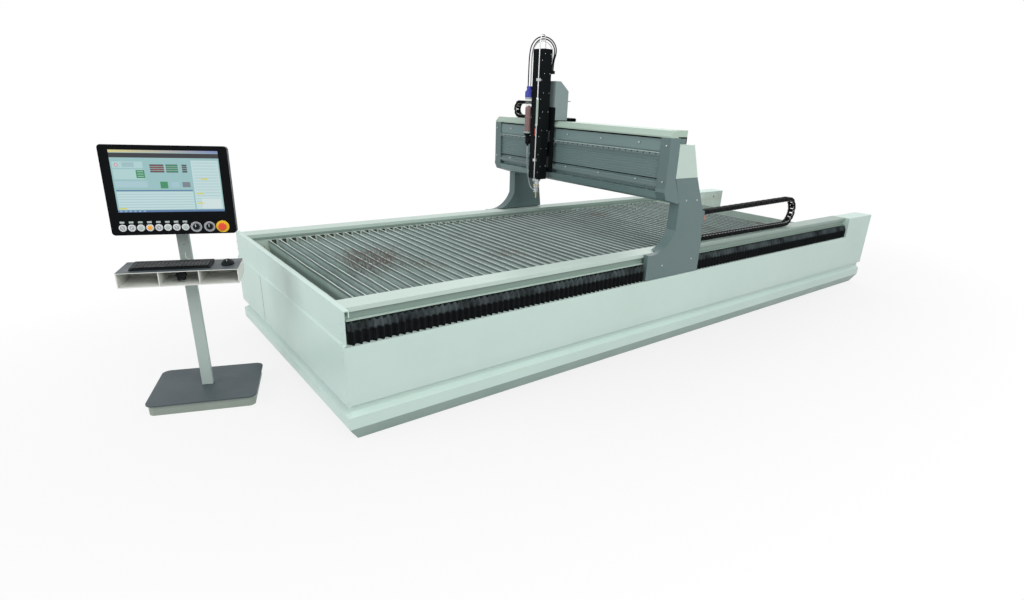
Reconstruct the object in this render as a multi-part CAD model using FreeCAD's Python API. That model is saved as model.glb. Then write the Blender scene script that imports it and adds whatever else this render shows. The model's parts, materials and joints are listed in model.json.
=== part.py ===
import FreeCAD, Part
import math
import os

# Gantry waterjet cutting machine with its operator console, in millimetres.
# The origin is the centre of the bed's footprint on the floor.
# +X runs along the bed's long side, +Y to the far side and +Z up.
# The near side is -Y. The console stands by itself off the -X end.

V = FreeCAD.Vector

# Overall bed
BED_LENGTH = 6200.0
BED_WIDTH = 2150.0
RIM_HEIGHT = 800.0
SHEET = 6.0
COVER_SHEET = 4.0
SEAT_GAP = 0.3

# Plinth that carries the bed
PLINTH_CHAMFER = 67.0
PLINTH_BAND_LOW = 104.0
PLINTH_BAND_HIGH = 177.0
PLINTH_NECK_INSET = 30.0
PLINTH_NECK_HIGH = 200.0
PLINTH_DEPTH = 150.0
PLINTH_WALL = 8.0
BODY_BOTTOM = 250.0

# Side casings that hide the long axis
CASING_WIDTH = 180.0
SLOT_BOTTOM_DROP = 204.0
SLOT_TOP_DROP = 73.0
END_HOOD_LENGTH = 535.0
PANEL_LIP = 45.0
COVER_INSET = 45.0
COVER_FASCIA = 26.0
COVER_STEP = 14.0
COVER_SKIRT = 40.0
COVER_OVERHANG = 5.0
CAP_HOLE_RADIUS = 12.0
CAP_HOLE_INSET = 190.0
CAP_HOLE_DROP = 70.0
SMALL_HOLE_RADIUS = 4.0
SMALL_HOLE_INSET = 90.0
SMALL_HOLE_DROP = 38.0

# Left end of the bed
END_RETURN = 40.0
END_CREASE_DROP = 200.0
END_CREASE_DEPTH = 10.0
END_CREASE_RISE = 12.0
END_SEAM_Y = 470.0
END_SEAM_GAP = 2.0

# Tank and slats
SERVICE_BAY_LENGTH = 1320.0
FLOOR_BAR_WIDTH = 150.0
TANK_FLOOR_SHEET = 8.0
SLAT_TOP_DROP = 48.0
SLAT_HEIGHT = 100.0
SLAT_THICKNESS = 3.0
SLAT_PITCH = 76.0
SLAT_START = 200.0
SLAT_END_CLEAR = 45.0
COMB_THICKNESS = 10.0
COMB_HEIGHT = 70.0
COMB_FOOT = 20.0
NOTCH_CLEAR = 0.5

# Long axis guides inside the casings
RAIL_BEAM_WIDTH = 50.0
RAIL_BEAM_BOTTOM_DROP = 280.0
RAIL_BEAM_TOP_DROP = 95.0
RAIL_BEAM_WALL = 8.0
RAIL_SIZE = 18.0
RAIL_HEIGHT = 24.0
RAIL_LEVEL_DROP = 145.0
RUNNER_HEIGHT = 70.0
RUNNER_LENGTH = 110.0
RUNNER_OVERLAP = 10.0
RUN_CLEAR = 0.3

# Bellows that close the slots
BELLOWS_PLEAT = 42.0
BELLOWS_PEAK_INSET = 10.0
BELLOWS_VALLEY_INSET = 24.0
BELLOWS_BACK_INSET = 38.0
BELLOWS_SLOPE_DROP = 108.0
BELLOWS_END_GAP = 0.3

# Gantry legs, X and Z as seen from the near side
LEG_LEFT_X = -742.0
LEG_RIGHT_X = -102.0
LEG_SHOULDER_RISE = 28.0
LEG_BEND_X = -142.0
LEG_BEND_RISE = 294.0
LEG_TOP_RIGHT_X = -269.0
LEG_TOP_LEFT_X = -530.0
LEG_TOP_RISE = 554.0
LEG_THROAT_X = -452.0
LEG_THROAT_TOP_RISE = 374.0
LEG_THROAT_LOW_RISE = 160.0
LEG_THROAT_SHARE_X = 0.74
LEG_THROAT_SHARE_Z = 0.36
LEG_FOOT_TOP_DROP = 2.0
LEG_PLATE = 40.0
LEG_THICKNESS = 88.0
LEG_BOTTOM_CLEAR = 5.0
LEG_RIM_CLEAR = 8.0
LEG_INSET = 2.0
RUNNER_END_INSET = 20.0

# Leg covers
LEG_COVER_TOP_RISE = 791.0
LEG_COVER_TOP_RIGHT_X = -358.0

# Cross beam, X and Z of its section
BEAM_FRONT_X = -633.0
BEAM_REAR_X = -345.0
BEAM_TOP_RISE = 840.0
BEAM_WALL = 10.0
BEAM_SEAT_DEPTH = 8.0
BEAM_PANEL_DEPTH = 14.0
BEAM_UPPER_BAND_RISE = 745.0
BEAM_PANEL_TOP_RISE = 703.0
BEAM_PANEL_LOW_RISE = 545.0
BEAM_GROOVE_RISE = 530.0
BEAM_GROOVE_DEPTH = 22.0
BEAM_FACE_LOW_RISE = 483.0
BEAM_GAP_LOW_RISE = 462.0
BEAM_GAP_DEPTH = 36.0
BEAM_NOSE_X = -644.0
BEAM_NOSE_RISE = 456.0
BEAM_CHIN_X = -620.0
BEAM_CHIN_RISE = 404.0
BEAM_KEEL_X = -468.0
BEAM_KEEL_RISE = 364.0
BEAM_END_FRONT_X = -640.0
BEAM_END_REAR_X = -535.0
TOP_COVER_HEIGHT = 48.0
TOP_COVER_SLOPE = 36.0
TOP_COVER_LIP = 10.0
UPPER_RAIL_RISE = 724.0
LOWER_RAIL_RISE = 506.0

# Cross carriage
CARRIAGE_Y = 295.0
CARRIAGE_WIDTH = 220.0
PLATE_THICKNESS = 14.0
PLATE_BOTTOM_RISE = 462.0
PLATE_TOP_RISE = 1000.0
Y_RUNNER_BODY = 8.0
Y_RUNNER_HEIGHT = 56.0
Y_RUNNER_LENGTH = 80.0
Y_RUNNER_SPREAD = 62.0
HOUSING_REAR_X = -500.0
HOUSING_BOTTOM_CLEAR = 8.0
HOUSING_OVER_ARM = 152.5
HOUSING_WIDTH = 190.0
HOUSING_CHAMFER_X = 92.0
HOUSING_CHAMFER_Z = 75.0

# Lifting column and head
COLUMN_WIDTH = 150.0
COLUMN_DEPTH = 88.0
COLUMN_BACK_X = -690.0
COLUMN_BOTTOM_RISE = 400.0
COLUMN_TOP_RISE = 1448.0
COLUMN_CHAMFER = 12.0
Z_RAIL_DEPTH = 14.0
Z_RAIL_WIDTH = 20.0
Z_RAIL_SPREAD = 45.0
Z_RAIL_LOW_INSET = 25.0
Z_RAIL_TOP_INSET = 300.0
Z_RUNNER_WIDTH = 42.0
Z_RUNNER_LENGTH = 90.0
Z_RUNNER_DEPTH = 20.0
Z_RUNNER_RISES = (545.0, 760.0)

# Cutting head
HEAD_MOUNT_RADIUS = 34.0
HEAD_BODY_RADIUS = 24.0
HEAD_BODY_TOP_RISE = 376.0
HEAD_BODY_LOW_RISE = 320.0
MIXER_RADIUS = 15.0
MIXER_LOW_RISE = 276.0
NOZZLE_RADIUS = 5.0
NOZZLE_TIP_RISE = 225.0
HEAD_PORT_RISE = 298.0
HEAD_PORT_LENGTH = 22.0
HEAD_PORT_RADIUS = 7.0

# Abrasive hopper beside the column
HOPPER_RADIUS = 34.0
HOPPER_WALL = 3.0
HOPPER_BOTTOM_RISE = 776.0
HOPPER_LENGTH = 294.0
HOPPER_CAP_RADIUS = 38.0
HOPPER_NECK_LENGTH = 30.0
HOPPER_SET_BACK = 14.0
HOPPER_CAP_SKIRT = 45.0
HOPPER_CAP_SHOULDER = 15.0
HOPPER_NECK_RADIUS = 25.0
VALVE_RADIUS = 22.0
VALVE_SHOULDER = 12.0
VALVE_TAPER = 8.0
VALVE_SPOUT_RADIUS = 9.0
VALVE_SPOUT_LENGTH = 12.0
VALVE_SHELF_WIDTH = 24.0
VALVE_SHELF_DROP = 60.0
VALVE_BOTTOM_RISE = 670.0

# High-pressure tube down the column
PRESSURE_TUBE_DIAMETER = 9.5
PRESSURE_TUBE_OFFSET = 38.0
PRESSURE_TUBE_STANDOFF = 16.0
SLEEVE_DIAMETER = 20.0
SLEEVE_LOW_RISE = 845.0
SLEEVE_LENGTH = 224.0
CLAMP_RISES = (562.0, 1211.0)
CLAMP_WIDTH = 34.0
CLAMP_HEIGHT = 22.0
CLAMP_LIP = 5.0
PRESSURE_PORT_RADIUS = 8.0
PRESSURE_PORT_REACH = 34.0
PRESSURE_PORT_RISE = 8.0
PRESSURE_RUN_RISE = 44.0
PRESSURE_ELBOW = 24.0

# Hoses and tubes that loop over the column to a clamp on its back
HOSE_DIAMETER = 10.0
FEED_TUBE_DIAMETER = 8.0
ABRASIVE_TUBE_DIAMETER = 9.0
HOSE_PORT_CIRCLE = 14.0
HOSE_PORT_ANGLES = (20.0, 140.0, 260.0)
HOSE_CLAMP_WIDTH = 60.0
HOSE_CLAMP_DEPTH = 32.0
HOSE_CLAMP_HEIGHT = 24.0
HOSE_CLAMP_DROP = 187.0
HOSE_CLAMP_SPACING = 16.0
HOSE_CLAMP_OFFSET = -38.0
HOSE_STANDOFF = 22.0
LOOP_RISES = (84.0, 100.0, 68.0)
HOSE_SLOTS = (1, 2, 0)
PRESSURE_LOOP_RISE = 108.0
PRESSURE_LOOP_START = 50.0
BEND_SHARE = 0.45

# Energy chains
X_CHAIN_HEIGHT = 35.0
X_CHAIN_WIDTH = 60.0
X_CHAIN_RADIUS = 200.0
X_CHAIN_REACH = 1424.0
X_CHAIN_LEG_GAP = 122.0
X_CHAIN_SLOPE = 8.0
X_CHAIN_CLEAR = 6.0
X_CHAIN_SIDE_GAP = 10.0
Y_CHAIN_HEIGHT = 28.0
Y_CHAIN_WIDTH = 60.0
Y_CHAIN_RADIUS = 64.0
Y_CHAIN_END_Y = 920.0
Y_CHAIN_START_Y = 180.0
Y_CHAIN_NEAR_X = -480.0
BRACKET_SHEET = 6.0
BRACKET_HEIGHT = 90.0
BRACKET_GRIP = 80.0
ARM_HALF_WIDTH = 40.0
ARM_CLEAR = 5.5
CHAIN_END_OFFSET = 60.0

# Operator console
CONSOLE_GAP = 490.0
CONSOLE_Y = 26.0
CONSOLE_YAW = -20.0
BASE_WIDTH = 580.0
BASE_DEPTH = 480.0
BASE_SKIRT_HEIGHT = 62.0
BASE_SHEET = 5.0
BASE_PLATE_SHEET = 8.0
BASE_PLATE_OVERHANG = 12.0
BASE_CORNER = 36.0
POLE_WIDTH = 62.0
POLE_DEPTH = 34.0
POLE_WALL = 4.0
TRAY_WIDTH = 600.0
TRAY_DEPTH = 235.0
TRAY_BOTTOM_Z = 797.0
TRAY_HEIGHT = 85.0
TRAY_SHEET = 5.0
TRAY_BAYS = 3
KEYBOARD_WIDTH = 400.0
KEYBOARD_DEPTH = 145.0
KEYBOARD_HEIGHT = 16.0
KEYBOARD_OFFSET = -45.0
MOUSE_OFFSET = 235.0
MOUSE_RADIUS = 34.0
MOUSE_HEIGHT = 30.0
MOUSE_LENGTH_RATIO = 1.35
MOUSE_SET_BACK = 120.0
MOUSE_FLAT_INSET = 2.0
CABLE_DIAMETER = 3.5
CABLE_LIFT = 0.5
CABLE_POLE_RISE = 45.0
KEYBOARD_SET_BACK = 50.0
KEYBOARD_FRONT_RATIO = 0.55
POLE_ABOVE_MONITOR_CENTRE = 60.0
BRACKET_HALF_HEIGHT = 50.0
CLAMP_KNOB_RADIUS = 28.0
CLAMP_KNOB_LENGTH = 26.0
CLAMP_STEM_RADIUS = 6.0
CLAMP_STEM_LENGTH = 158.0
MONITOR_WIDTH = 610.0
MONITOR_HEIGHT = 475.0
MONITOR_DEPTH = 58.0
MONITOR_CORNER = 18.0
MONITOR_CENTRE_Z = 1300.0
MONITOR_TILT = 5.0
MONITOR_BRACKET = 46.0
SCREEN_WIDTH = 520.0
SCREEN_HEIGHT = 330.0
SCREEN_TOP_MARGIN = 24.0
SCREEN_DEPTH = 3.0
BUTTON_COUNT = 8
BUTTON_PITCH = 43.0
BUTTON_FIRST = -250.0
BUTTON_RADIUS = 17.0
BUTTON_PROUD = 6.0
BUTTON_ROW = -198.0
KNOB_PLACES = (104.0, 171.0)
KNOB_RADIUS = 16.0
KNOB_LENGTH = 18.0
KNOB_BAR_WIDTH = 8.0
KNOB_BAR_HEIGHT = 6.0
KNOB_SHAFT_RADIUS = 6.4
KNOB_SHAFT_DEPTH = 18.0
ESTOP_PLACE = 238.0
ESTOP_RING_RADIUS = 33.0
ESTOP_RING_DEPTH = 6.0
ESTOP_STEM_RADIUS = 11.0
ESTOP_HEAD_RADIUS = 20.0
ESTOP_HEAD_DEPTH = 14.0
ESTOP_STROKE = 6.0
ESTOP_HEAD_ROUND = 5.0
ESTOP_HEAD_GAP = 5.0
ESTOP_STEM_DEPTH = 20.0
CONTROL_GAP = 0.3

# Worked out from the sizes above
HALF_LENGTH = BED_LENGTH / 2.0
SLOT_END_X = HALF_LENGTH - END_HOOD_LENGTH
TANK_RIGHT_X = HALF_LENGTH - SERVICE_BAY_LENGTH
CONSOLE_X = -HALF_LENGTH - CONSOLE_GAP
X_CHAIN_CENTRE_X = LEG_RIGHT_X + X_CHAIN_REACH
X_CHAIN_START_X = LEG_RIGHT_X + X_CHAIN_LEG_GAP
LEG_SHOULDER_Z = RIM_HEIGHT + LEG_SHOULDER_RISE
LEG_BEND_Z = RIM_HEIGHT + LEG_BEND_RISE
LEG_TOP_Z = RIM_HEIGHT + LEG_TOP_RISE
LEG_THROAT_TOP_Z = RIM_HEIGHT + LEG_THROAT_TOP_RISE
LEG_THROAT_LOW_Z = RIM_HEIGHT + LEG_THROAT_LOW_RISE
LEG_COVER_TOP_Z = RIM_HEIGHT + LEG_COVER_TOP_RISE
BEAM_TOP_Z = RIM_HEIGHT + BEAM_TOP_RISE
BEAM_UPPER_BAND_Z = RIM_HEIGHT + BEAM_UPPER_BAND_RISE
BEAM_PANEL_TOP_Z = RIM_HEIGHT + BEAM_PANEL_TOP_RISE
BEAM_PANEL_LOW_Z = RIM_HEIGHT + BEAM_PANEL_LOW_RISE
BEAM_GROOVE_Z = RIM_HEIGHT + BEAM_GROOVE_RISE
BEAM_FACE_LOW_Z = RIM_HEIGHT + BEAM_FACE_LOW_RISE
BEAM_GAP_LOW_Z = RIM_HEIGHT + BEAM_GAP_LOW_RISE
BEAM_NOSE_Z = RIM_HEIGHT + BEAM_NOSE_RISE
BEAM_CHIN_Z = RIM_HEIGHT + BEAM_CHIN_RISE
BEAM_KEEL_Z = RIM_HEIGHT + BEAM_KEEL_RISE
UPPER_RAIL_Z = RIM_HEIGHT + UPPER_RAIL_RISE
LOWER_RAIL_Z = RIM_HEIGHT + LOWER_RAIL_RISE
PLATE_BOTTOM_Z = RIM_HEIGHT + PLATE_BOTTOM_RISE
PLATE_TOP_Z = RIM_HEIGHT + PLATE_TOP_RISE
COLUMN_BOTTOM_Z = RIM_HEIGHT + COLUMN_BOTTOM_RISE
COLUMN_TOP_Z = RIM_HEIGHT + COLUMN_TOP_RISE
HEAD_BODY_TOP_Z = RIM_HEIGHT + HEAD_BODY_TOP_RISE
HEAD_BODY_LOW_Z = RIM_HEIGHT + HEAD_BODY_LOW_RISE
MIXER_LOW_Z = RIM_HEIGHT + MIXER_LOW_RISE
NOZZLE_TIP_Z = RIM_HEIGHT + NOZZLE_TIP_RISE
HEAD_PORT_Z = RIM_HEIGHT + HEAD_PORT_RISE
HOPPER_BOTTOM_Z = RIM_HEIGHT + HOPPER_BOTTOM_RISE
HOPPER_TOP_Z = HOPPER_BOTTOM_Z + HOPPER_LENGTH
HOPPER_SHOULDER_Z = HOPPER_TOP_Z + HOPPER_CAP_SKIRT + HOPPER_CAP_SHOULDER
HOPPER_CAP_TOP_Z = HOPPER_SHOULDER_Z + HOPPER_NECK_LENGTH
VALVE_BOTTOM_Z = RIM_HEIGHT + VALVE_BOTTOM_RISE
SLOT_BOTTOM = RIM_HEIGHT - SLOT_BOTTOM_DROP
SLOT_TOP = RIM_HEIGHT - SLOT_TOP_DROP
END_CREASE_Z = RIM_HEIGHT - END_CREASE_DROP
SLAT_TOP = RIM_HEIGHT - SLAT_TOP_DROP
RAIL_BEAM_BOTTOM = RIM_HEIGHT - RAIL_BEAM_BOTTOM_DROP
RAIL_BEAM_TOP = RIM_HEIGHT - RAIL_BEAM_TOP_DROP
RAIL_LEVEL = RIM_HEIGHT - RAIL_LEVEL_DROP
BELLOWS_SLOPE_Z = RIM_HEIGHT - BELLOWS_SLOPE_DROP
LEG_FOOT_TOP_Z = RIM_HEIGHT - LEG_FOOT_TOP_DROP
HALF_WIDTH = BED_WIDTH / 2.0
INNER_FACE = HALF_WIDTH - CASING_WIDTH
WALL_OUTER = INNER_FACE + SHEET
TANK_FLOOR_TOP = BODY_BOTTOM + TANK_FLOOR_SHEET
WALL_TOP = RIM_HEIGHT - SHEET - SEAT_GAP
COVER_EDGE = HALF_WIDTH - COVER_INSET
RAIL_FACE = WALL_OUTER + SEAT_GAP + RAIL_BEAM_WIDTH
RAIL_TIP = RAIL_FACE + RAIL_SIZE
LEG_OUTER = HALF_WIDTH - LEG_INSET
LEG_PLATE_INNER = LEG_OUTER - LEG_PLATE
LEG_INNER = LEG_OUTER - LEG_THICKNESS
LEG_BOTTOM_Z = SLOT_BOTTOM + LEG_BOTTOM_CLEAR
BEAM_SEAT_X = BEAM_FRONT_X + BEAM_SEAT_DEPTH
BEAM_RAIL_TIP_X = BEAM_SEAT_X - RAIL_SIZE
Y_RUNNER_FACE_X = BEAM_RAIL_TIP_X - RUN_CLEAR - Y_RUNNER_BODY
PLATE_FRONT_X = Y_RUNNER_FACE_X - PLATE_THICKNESS
COLUMN_FRONT_X = COLUMN_BACK_X - COLUMN_DEPTH
COLUMN_CENTRE_X = COLUMN_BACK_X - COLUMN_DEPTH / 2.0
TOP_COVER_Z = BEAM_TOP_Z + TOP_COVER_HEIGHT
ARM_LOW_Z = TOP_COVER_Z + 2.0 * Y_CHAIN_RADIUS + Y_CHAIN_HEIGHT + ARM_CLEAR
HOUSING_TOP_Z = ARM_LOW_Z + BRACKET_SHEET + HOUSING_OVER_ARM


def box(x0, x1, y0, y1, z0, z1):
    """Block between two opposite corners."""
    return Part.makeBox(x1 - x0, y1 - y0, z1 - z0, V(x0, y0, z0))


def prism(points, direction):
    """Closed outline of 3-D points pushed along a direction."""
    wire = Part.makePolygon(points + [points[0]])
    return Part.Face(wire).extrude(direction)


def prism_x(points_yz, x0, x1):
    """Outline in Y and Z pushed along X."""
    return prism([V(x0, y, z) for y, z in points_yz], V(x1 - x0, 0, 0))


def prism_y(points_xz, y0, y1):
    """Outline in X and Z pushed along Y."""
    return prism([V(x, y0, z) for x, z in points_xz], V(0, y1 - y0, 0))


def prism_z(points_xy, z0, z1):
    """Outline in X and Y pushed along Z."""
    return prism([V(x, y, z0) for x, y in points_xy], V(0, 0, z1 - z0))


def inward(points, wall):
    """Outline of straight edges moved inwards by a wall thickness."""
    area = 0.0
    count = len(points)
    for i in range(count):
        a, b = points[i], points[(i + 1) % count]
        area += a[0] * b[1] - b[0] * a[1]
    side = 1.0 if area > 0 else -1.0
    moved = []
    for i in range(count):
        before, here, after = points[i - 1], points[i], points[(i + 1) % count]
        moved.append(mitre(before, here, after, wall * side))
    return moved


def mitre(before, here, after, offset):
    """Corner of the line before-here-after, moved to its left by an offset."""
    ax, ay = here[0] - before[0], here[1] - before[1]
    bx, by = after[0] - here[0], after[1] - here[1]
    al, bl = math.hypot(ax, ay), math.hypot(bx, by)
    nax, nay = -ay / al, ax / al
    nbx, nby = -by / bl, bx / bl
    scale = offset / (1.0 + nax * nbx + nay * nby)
    return (here[0] + (nax + nbx) * scale, here[1] + (nay + nby) * scale)


def sheet(points, thickness):
    """Outline of a bent sheet: an open line thickened to its left."""
    first_dir = (points[1][0] - points[0][0], points[1][1] - points[0][1])
    last_dir = (points[-1][0] - points[-2][0], points[-1][1] - points[-2][1])
    first_len = math.hypot(*first_dir)
    last_len = math.hypot(*last_dir)
    start = (points[0][0] - first_dir[1] / first_len * thickness,
             points[0][1] + first_dir[0] / first_len * thickness)
    end = (points[-1][0] - last_dir[1] / last_len * thickness,
           points[-1][1] + last_dir[0] / last_len * thickness)
    inner = [start]
    for i in range(1, len(points) - 1):
        inner.append(mitre(points[i - 1], points[i], points[i + 1], thickness))
    inner.append(end)
    return list(points) + inner[::-1]


def far_copy(shape):
    """Mirror image on the other side of the long middle plane."""
    return shape.mirror(V(0, 0, 0), V(0, 1, 0))


def both_sides(shape):
    """A near piece together with its mirrored far piece."""
    return Part.makeCompound([shape, far_copy(shape)])


def rod(base, direction, radius, length):
    """Round bar from a base point along a direction."""
    return Part.makeCylinder(radius, length, base, direction)


def save(name, shape):
    """Write one node."""
    shape.exportStep("parts/" + name + ".step")


def routed_tube(name, points, diameter):
    """Tube along straight runs joined by tangent arcs as large as the runs allow."""
    route = [V(*p) for p in points]
    edges = []
    start = route[0]
    radii = []
    for i in range(1, len(route) - 1):
        to_here = route[i] - route[i - 1]
        onward = route[i + 1] - route[i]
        half_turn = to_here.getAngle(onward) / 2.0
        shorter = min(to_here.Length, onward.Length)
        reach = BEND_SHARE * shorter
        radii.append(reach / math.tan(half_turn))
        into = route[i] - V(to_here).normalize() * reach
        out = route[i] + V(onward).normalize() * reach
        bisector = (V(onward).normalize() - V(to_here).normalize()).normalize()
        centre = route[i] + bisector * (reach / math.sin(half_turn))
        middle = centre - bisector * radii[-1]
        edges.append(Part.LineSegment(start, into).toShape())
        edges.append(Part.Arc(into, middle, out).toShape())
        start = out
    edges.append(Part.LineSegment(start, route[-1]).toShape())
    path = Part.Wire(edges)
    first = route[1] - route[0]
    ring = Part.Wire(Part.Circle(route[0], first, diameter / 2.0).toShape())
    tube = path.makePipeShell([ring], True, False)
    section = math.pi * diameter ** 2 / 4.0
    print(name, "radii", [round(r, 1) for r in radii],
          "volume ratio", round(tube.Volume / (section * path.Length), 4))
    return tube


def plinth_bar(length):
    """Long hollow bar of the plinth's section, its outer face at Y = 0 facing -Y."""
    outline = [(PLINTH_CHAMFER, 0), (0, PLINTH_BAND_LOW), (0, PLINTH_BAND_HIGH),
               (PLINTH_NECK_INSET, PLINTH_NECK_HIGH), (PLINTH_NECK_INSET, BODY_BOTTOM),
               (PLINTH_DEPTH, BODY_BOTTOM), (PLINTH_DEPTH, 0)]
    solid = prism_x(outline, -length / 2.0, length / 2.0)
    hollow = prism_x(inward(outline, PLINTH_WALL), -length, length)
    return solid.cut(hollow)


def plinth_side():
    """Near plinth bar with a mitre at the left and a plain end at the right."""
    bar = plinth_bar(BED_LENGTH)
    bar.translate(V(0, -HALF_WIDTH, 0))
    reach = PLINTH_DEPTH
    keep = [(-HALF_LENGTH, -HALF_WIDTH), (HALF_LENGTH, -HALF_WIDTH),
            (HALF_LENGTH, -HALF_WIDTH + reach), (-HALF_LENGTH + reach, -HALF_WIDTH + reach)]
    return bar.common(prism_z(keep, -1, RIM_HEIGHT))


def floor_bar(x_right):
    """Hollow cross bar between the plinth's long sides, under the tank's floor."""
    half = HALF_WIDTH - PLINTH_DEPTH
    outline = [(x_right - FLOOR_BAR_WIDTH, 0), (x_right, 0), (x_right, BODY_BOTTOM),
               (x_right - FLOOR_BAR_WIDTH, BODY_BOTTOM)]
    hollow = prism_y(inward(outline, PLINTH_WALL), -HALF_WIDTH, HALF_WIDTH)
    return prism_y(outline, -half, half).cut(hollow)


def plinth_ends():
    """Mitred left bar, with cross bars under the tank's middle and its right wall."""
    left = plinth_bar(BED_WIDTH)
    left.rotate(V(0, 0, 0), V(0, 0, 1), -90)
    left.translate(V(-HALF_LENGTH, 0, 0))
    reach = PLINTH_DEPTH
    keep = [(-HALF_LENGTH, -HALF_WIDTH), (-HALF_LENGTH + reach, -HALF_WIDTH + reach),
            (-HALF_LENGTH + reach, HALF_WIDTH - reach), (-HALF_LENGTH, HALF_WIDTH)]
    left = left.common(prism_z(keep, -1, RIM_HEIGHT))
    return Part.makeCompound([left, floor_bar(FLOOR_BAR_WIDTH / 2.0), floor_bar(TANK_RIGHT_X)])


def side_panel():
    """Near side panel: one sheet with a lip turned in at the bottom and the top."""
    line = [(-HALF_WIDTH + PANEL_LIP, BODY_BOTTOM), (-HALF_WIDTH, BODY_BOTTOM),
            (-HALF_WIDTH, SLOT_BOTTOM), (-HALF_WIDTH + PANEL_LIP, SLOT_BOTTOM)]
    outline = sheet(line[::-1], SHEET)
    return prism_x(outline, -HALF_LENGTH + SHEET, HALF_LENGTH - SHEET)


def rail_cover():
    """Near top cover: flat top, short fascia, step back to a drip lip, and an inner skirt."""
    edge = -COVER_EDGE
    step = edge + COVER_STEP
    inner = -INNER_FACE + COVER_OVERHANG + COVER_SHEET
    fascia_low = RIM_HEIGHT - COVER_FASCIA
    line = [(step + COVER_SHEET, SLOT_TOP), (step, fascia_low), (edge, fascia_low),
            (edge, RIM_HEIGHT), (inner, RIM_HEIGHT), (inner, RIM_HEIGHT - COVER_SKIRT)]
    outline = sheet(line[::-1], COVER_SHEET)
    start = -HALF_LENGTH + END_RETURN
    cover = prism_x(outline, start, SLOT_END_X)
    lip = box(start, SLOT_END_X, edge, step + COVER_SHEET, SLOT_TOP - COVER_SHEET, SLOT_TOP)
    return cover.fuse(lip).removeSplitter()


def end_cap():
    """Near casing end: a hood over the slot's end and the plate that closes the casing."""
    hood = box(SLOT_END_X, HALF_LENGTH, -HALF_WIDTH, -INNER_FACE, SLOT_BOTTOM, RIM_HEIGHT)
    room = box(SLOT_END_X + SHEET, HALF_LENGTH - SHEET, -HALF_WIDTH + SHEET,
               -WALL_OUTER - SEAT_GAP, SLOT_BOTTOM - 1, RIM_HEIGHT - SHEET)
    notch = box(SLOT_END_X - 1, HALF_LENGTH - SHEET, -WALL_OUTER - SEAT_GAP, -INNER_FACE + 1,
                SLOT_BOTTOM - 1, RIM_HEIGHT - SHEET)
    plate = box(HALF_LENGTH - SHEET, HALF_LENGTH, -HALF_WIDTH, -INNER_FACE, BODY_BOTTOM, SLOT_BOTTOM)
    return hood.cut(room).cut(notch).fuse(plate).removeSplitter()


def left_end_panel():
    """Left end: creased outer sheet with a rim returned over the tank, split by one seam."""
    left = -HALF_LENGTH
    upper = left + END_CREASE_DEPTH
    line = [(left, BODY_BOTTOM), (left, END_CREASE_Z), (upper, END_CREASE_Z + END_CREASE_RISE),
            (upper, RIM_HEIGHT), (left + END_RETURN, RIM_HEIGHT),
            (left + END_RETURN, RIM_HEIGHT - COVER_SKIRT)]
    outline = sheet(line[::-1], SHEET)
    seam = END_SEAM_GAP / 2.0
    main = prism_y(outline, -HALF_WIDTH, END_SEAM_Y - seam)
    corner = prism_y(outline, END_SEAM_Y + seam, HALF_WIDTH)
    return Part.makeCompound([main, corner])


def tank_side_wall():
    """Near wall of the tank, which is also the casing's inner wall."""
    holes = rod(V(HALF_LENGTH - CAP_HOLE_INSET, -HALF_WIDTH, RIM_HEIGHT - CAP_HOLE_DROP),
                V(0, 1, 0), CAP_HOLE_RADIUS, BED_WIDTH / 2.0)
    small = rod(V(HALF_LENGTH - SMALL_HOLE_INSET, -HALF_WIDTH, RIM_HEIGHT - SMALL_HOLE_DROP),
                V(0, 1, 0), SMALL_HOLE_RADIUS, BED_WIDTH / 2.0)
    wall = box(-HALF_LENGTH + END_RETURN + SHEET, HALF_LENGTH - SHEET,
               -WALL_OUTER, -INNER_FACE, BODY_BOTTOM, WALL_TOP)
    return wall.cut(holes).cut(small)


def tank_floor():
    """Floor plate between the side walls, on the plinth."""
    return box(-HALF_LENGTH + END_RETURN + SHEET, TANK_RIGHT_X, -INNER_FACE, INNER_FACE,
               BODY_BOTTOM, TANK_FLOOR_TOP)


def tank_end_wall(x0):
    """Wall across the tank, cornered out below the skirts of the two top covers."""
    wall = box(x0, x0 + SHEET, -INNER_FACE, INNER_FACE, TANK_FLOOR_TOP, WALL_TOP)
    skirt = -INNER_FACE + COVER_OVERHANG + COVER_SHEET + SEAT_GAP
    corner = box(x0 - 1, x0 + SHEET + 1, -INNER_FACE - 1, skirt,
                 RIM_HEIGHT - COVER_SKIRT - SEAT_GAP, RIM_HEIGHT)
    return wall.cut(corner).cut(far_copy(corner))


def tank_end_walls():
    """Left and right walls of the tank, standing on its floor."""
    return Part.makeCompound([tank_end_wall(-HALF_LENGTH + END_RETURN + SHEET),
                              tank_end_wall(TANK_RIGHT_X - SHEET)])


def slat_places():
    """Middle X of each slat."""
    first = -HALF_LENGTH + SLAT_START
    last = TANK_RIGHT_X - SHEET - SLAT_END_CLEAR
    count = int((last - first) / SLAT_PITCH) + 1
    return [first + i * SLAT_PITCH for i in range(count)]


def slat_bank():
    """Upright slats across the tank."""
    half = INNER_FACE - SEAT_GAP
    low = SLAT_TOP - SLAT_HEIGHT
    slats = []
    for x in slat_places():
        slats.append(box(x - SLAT_THICKNESS / 2.0, x + SLAT_THICKNESS / 2.0, -half, half,
                         low, SLAT_TOP))
    return Part.makeCompound(slats)


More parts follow.
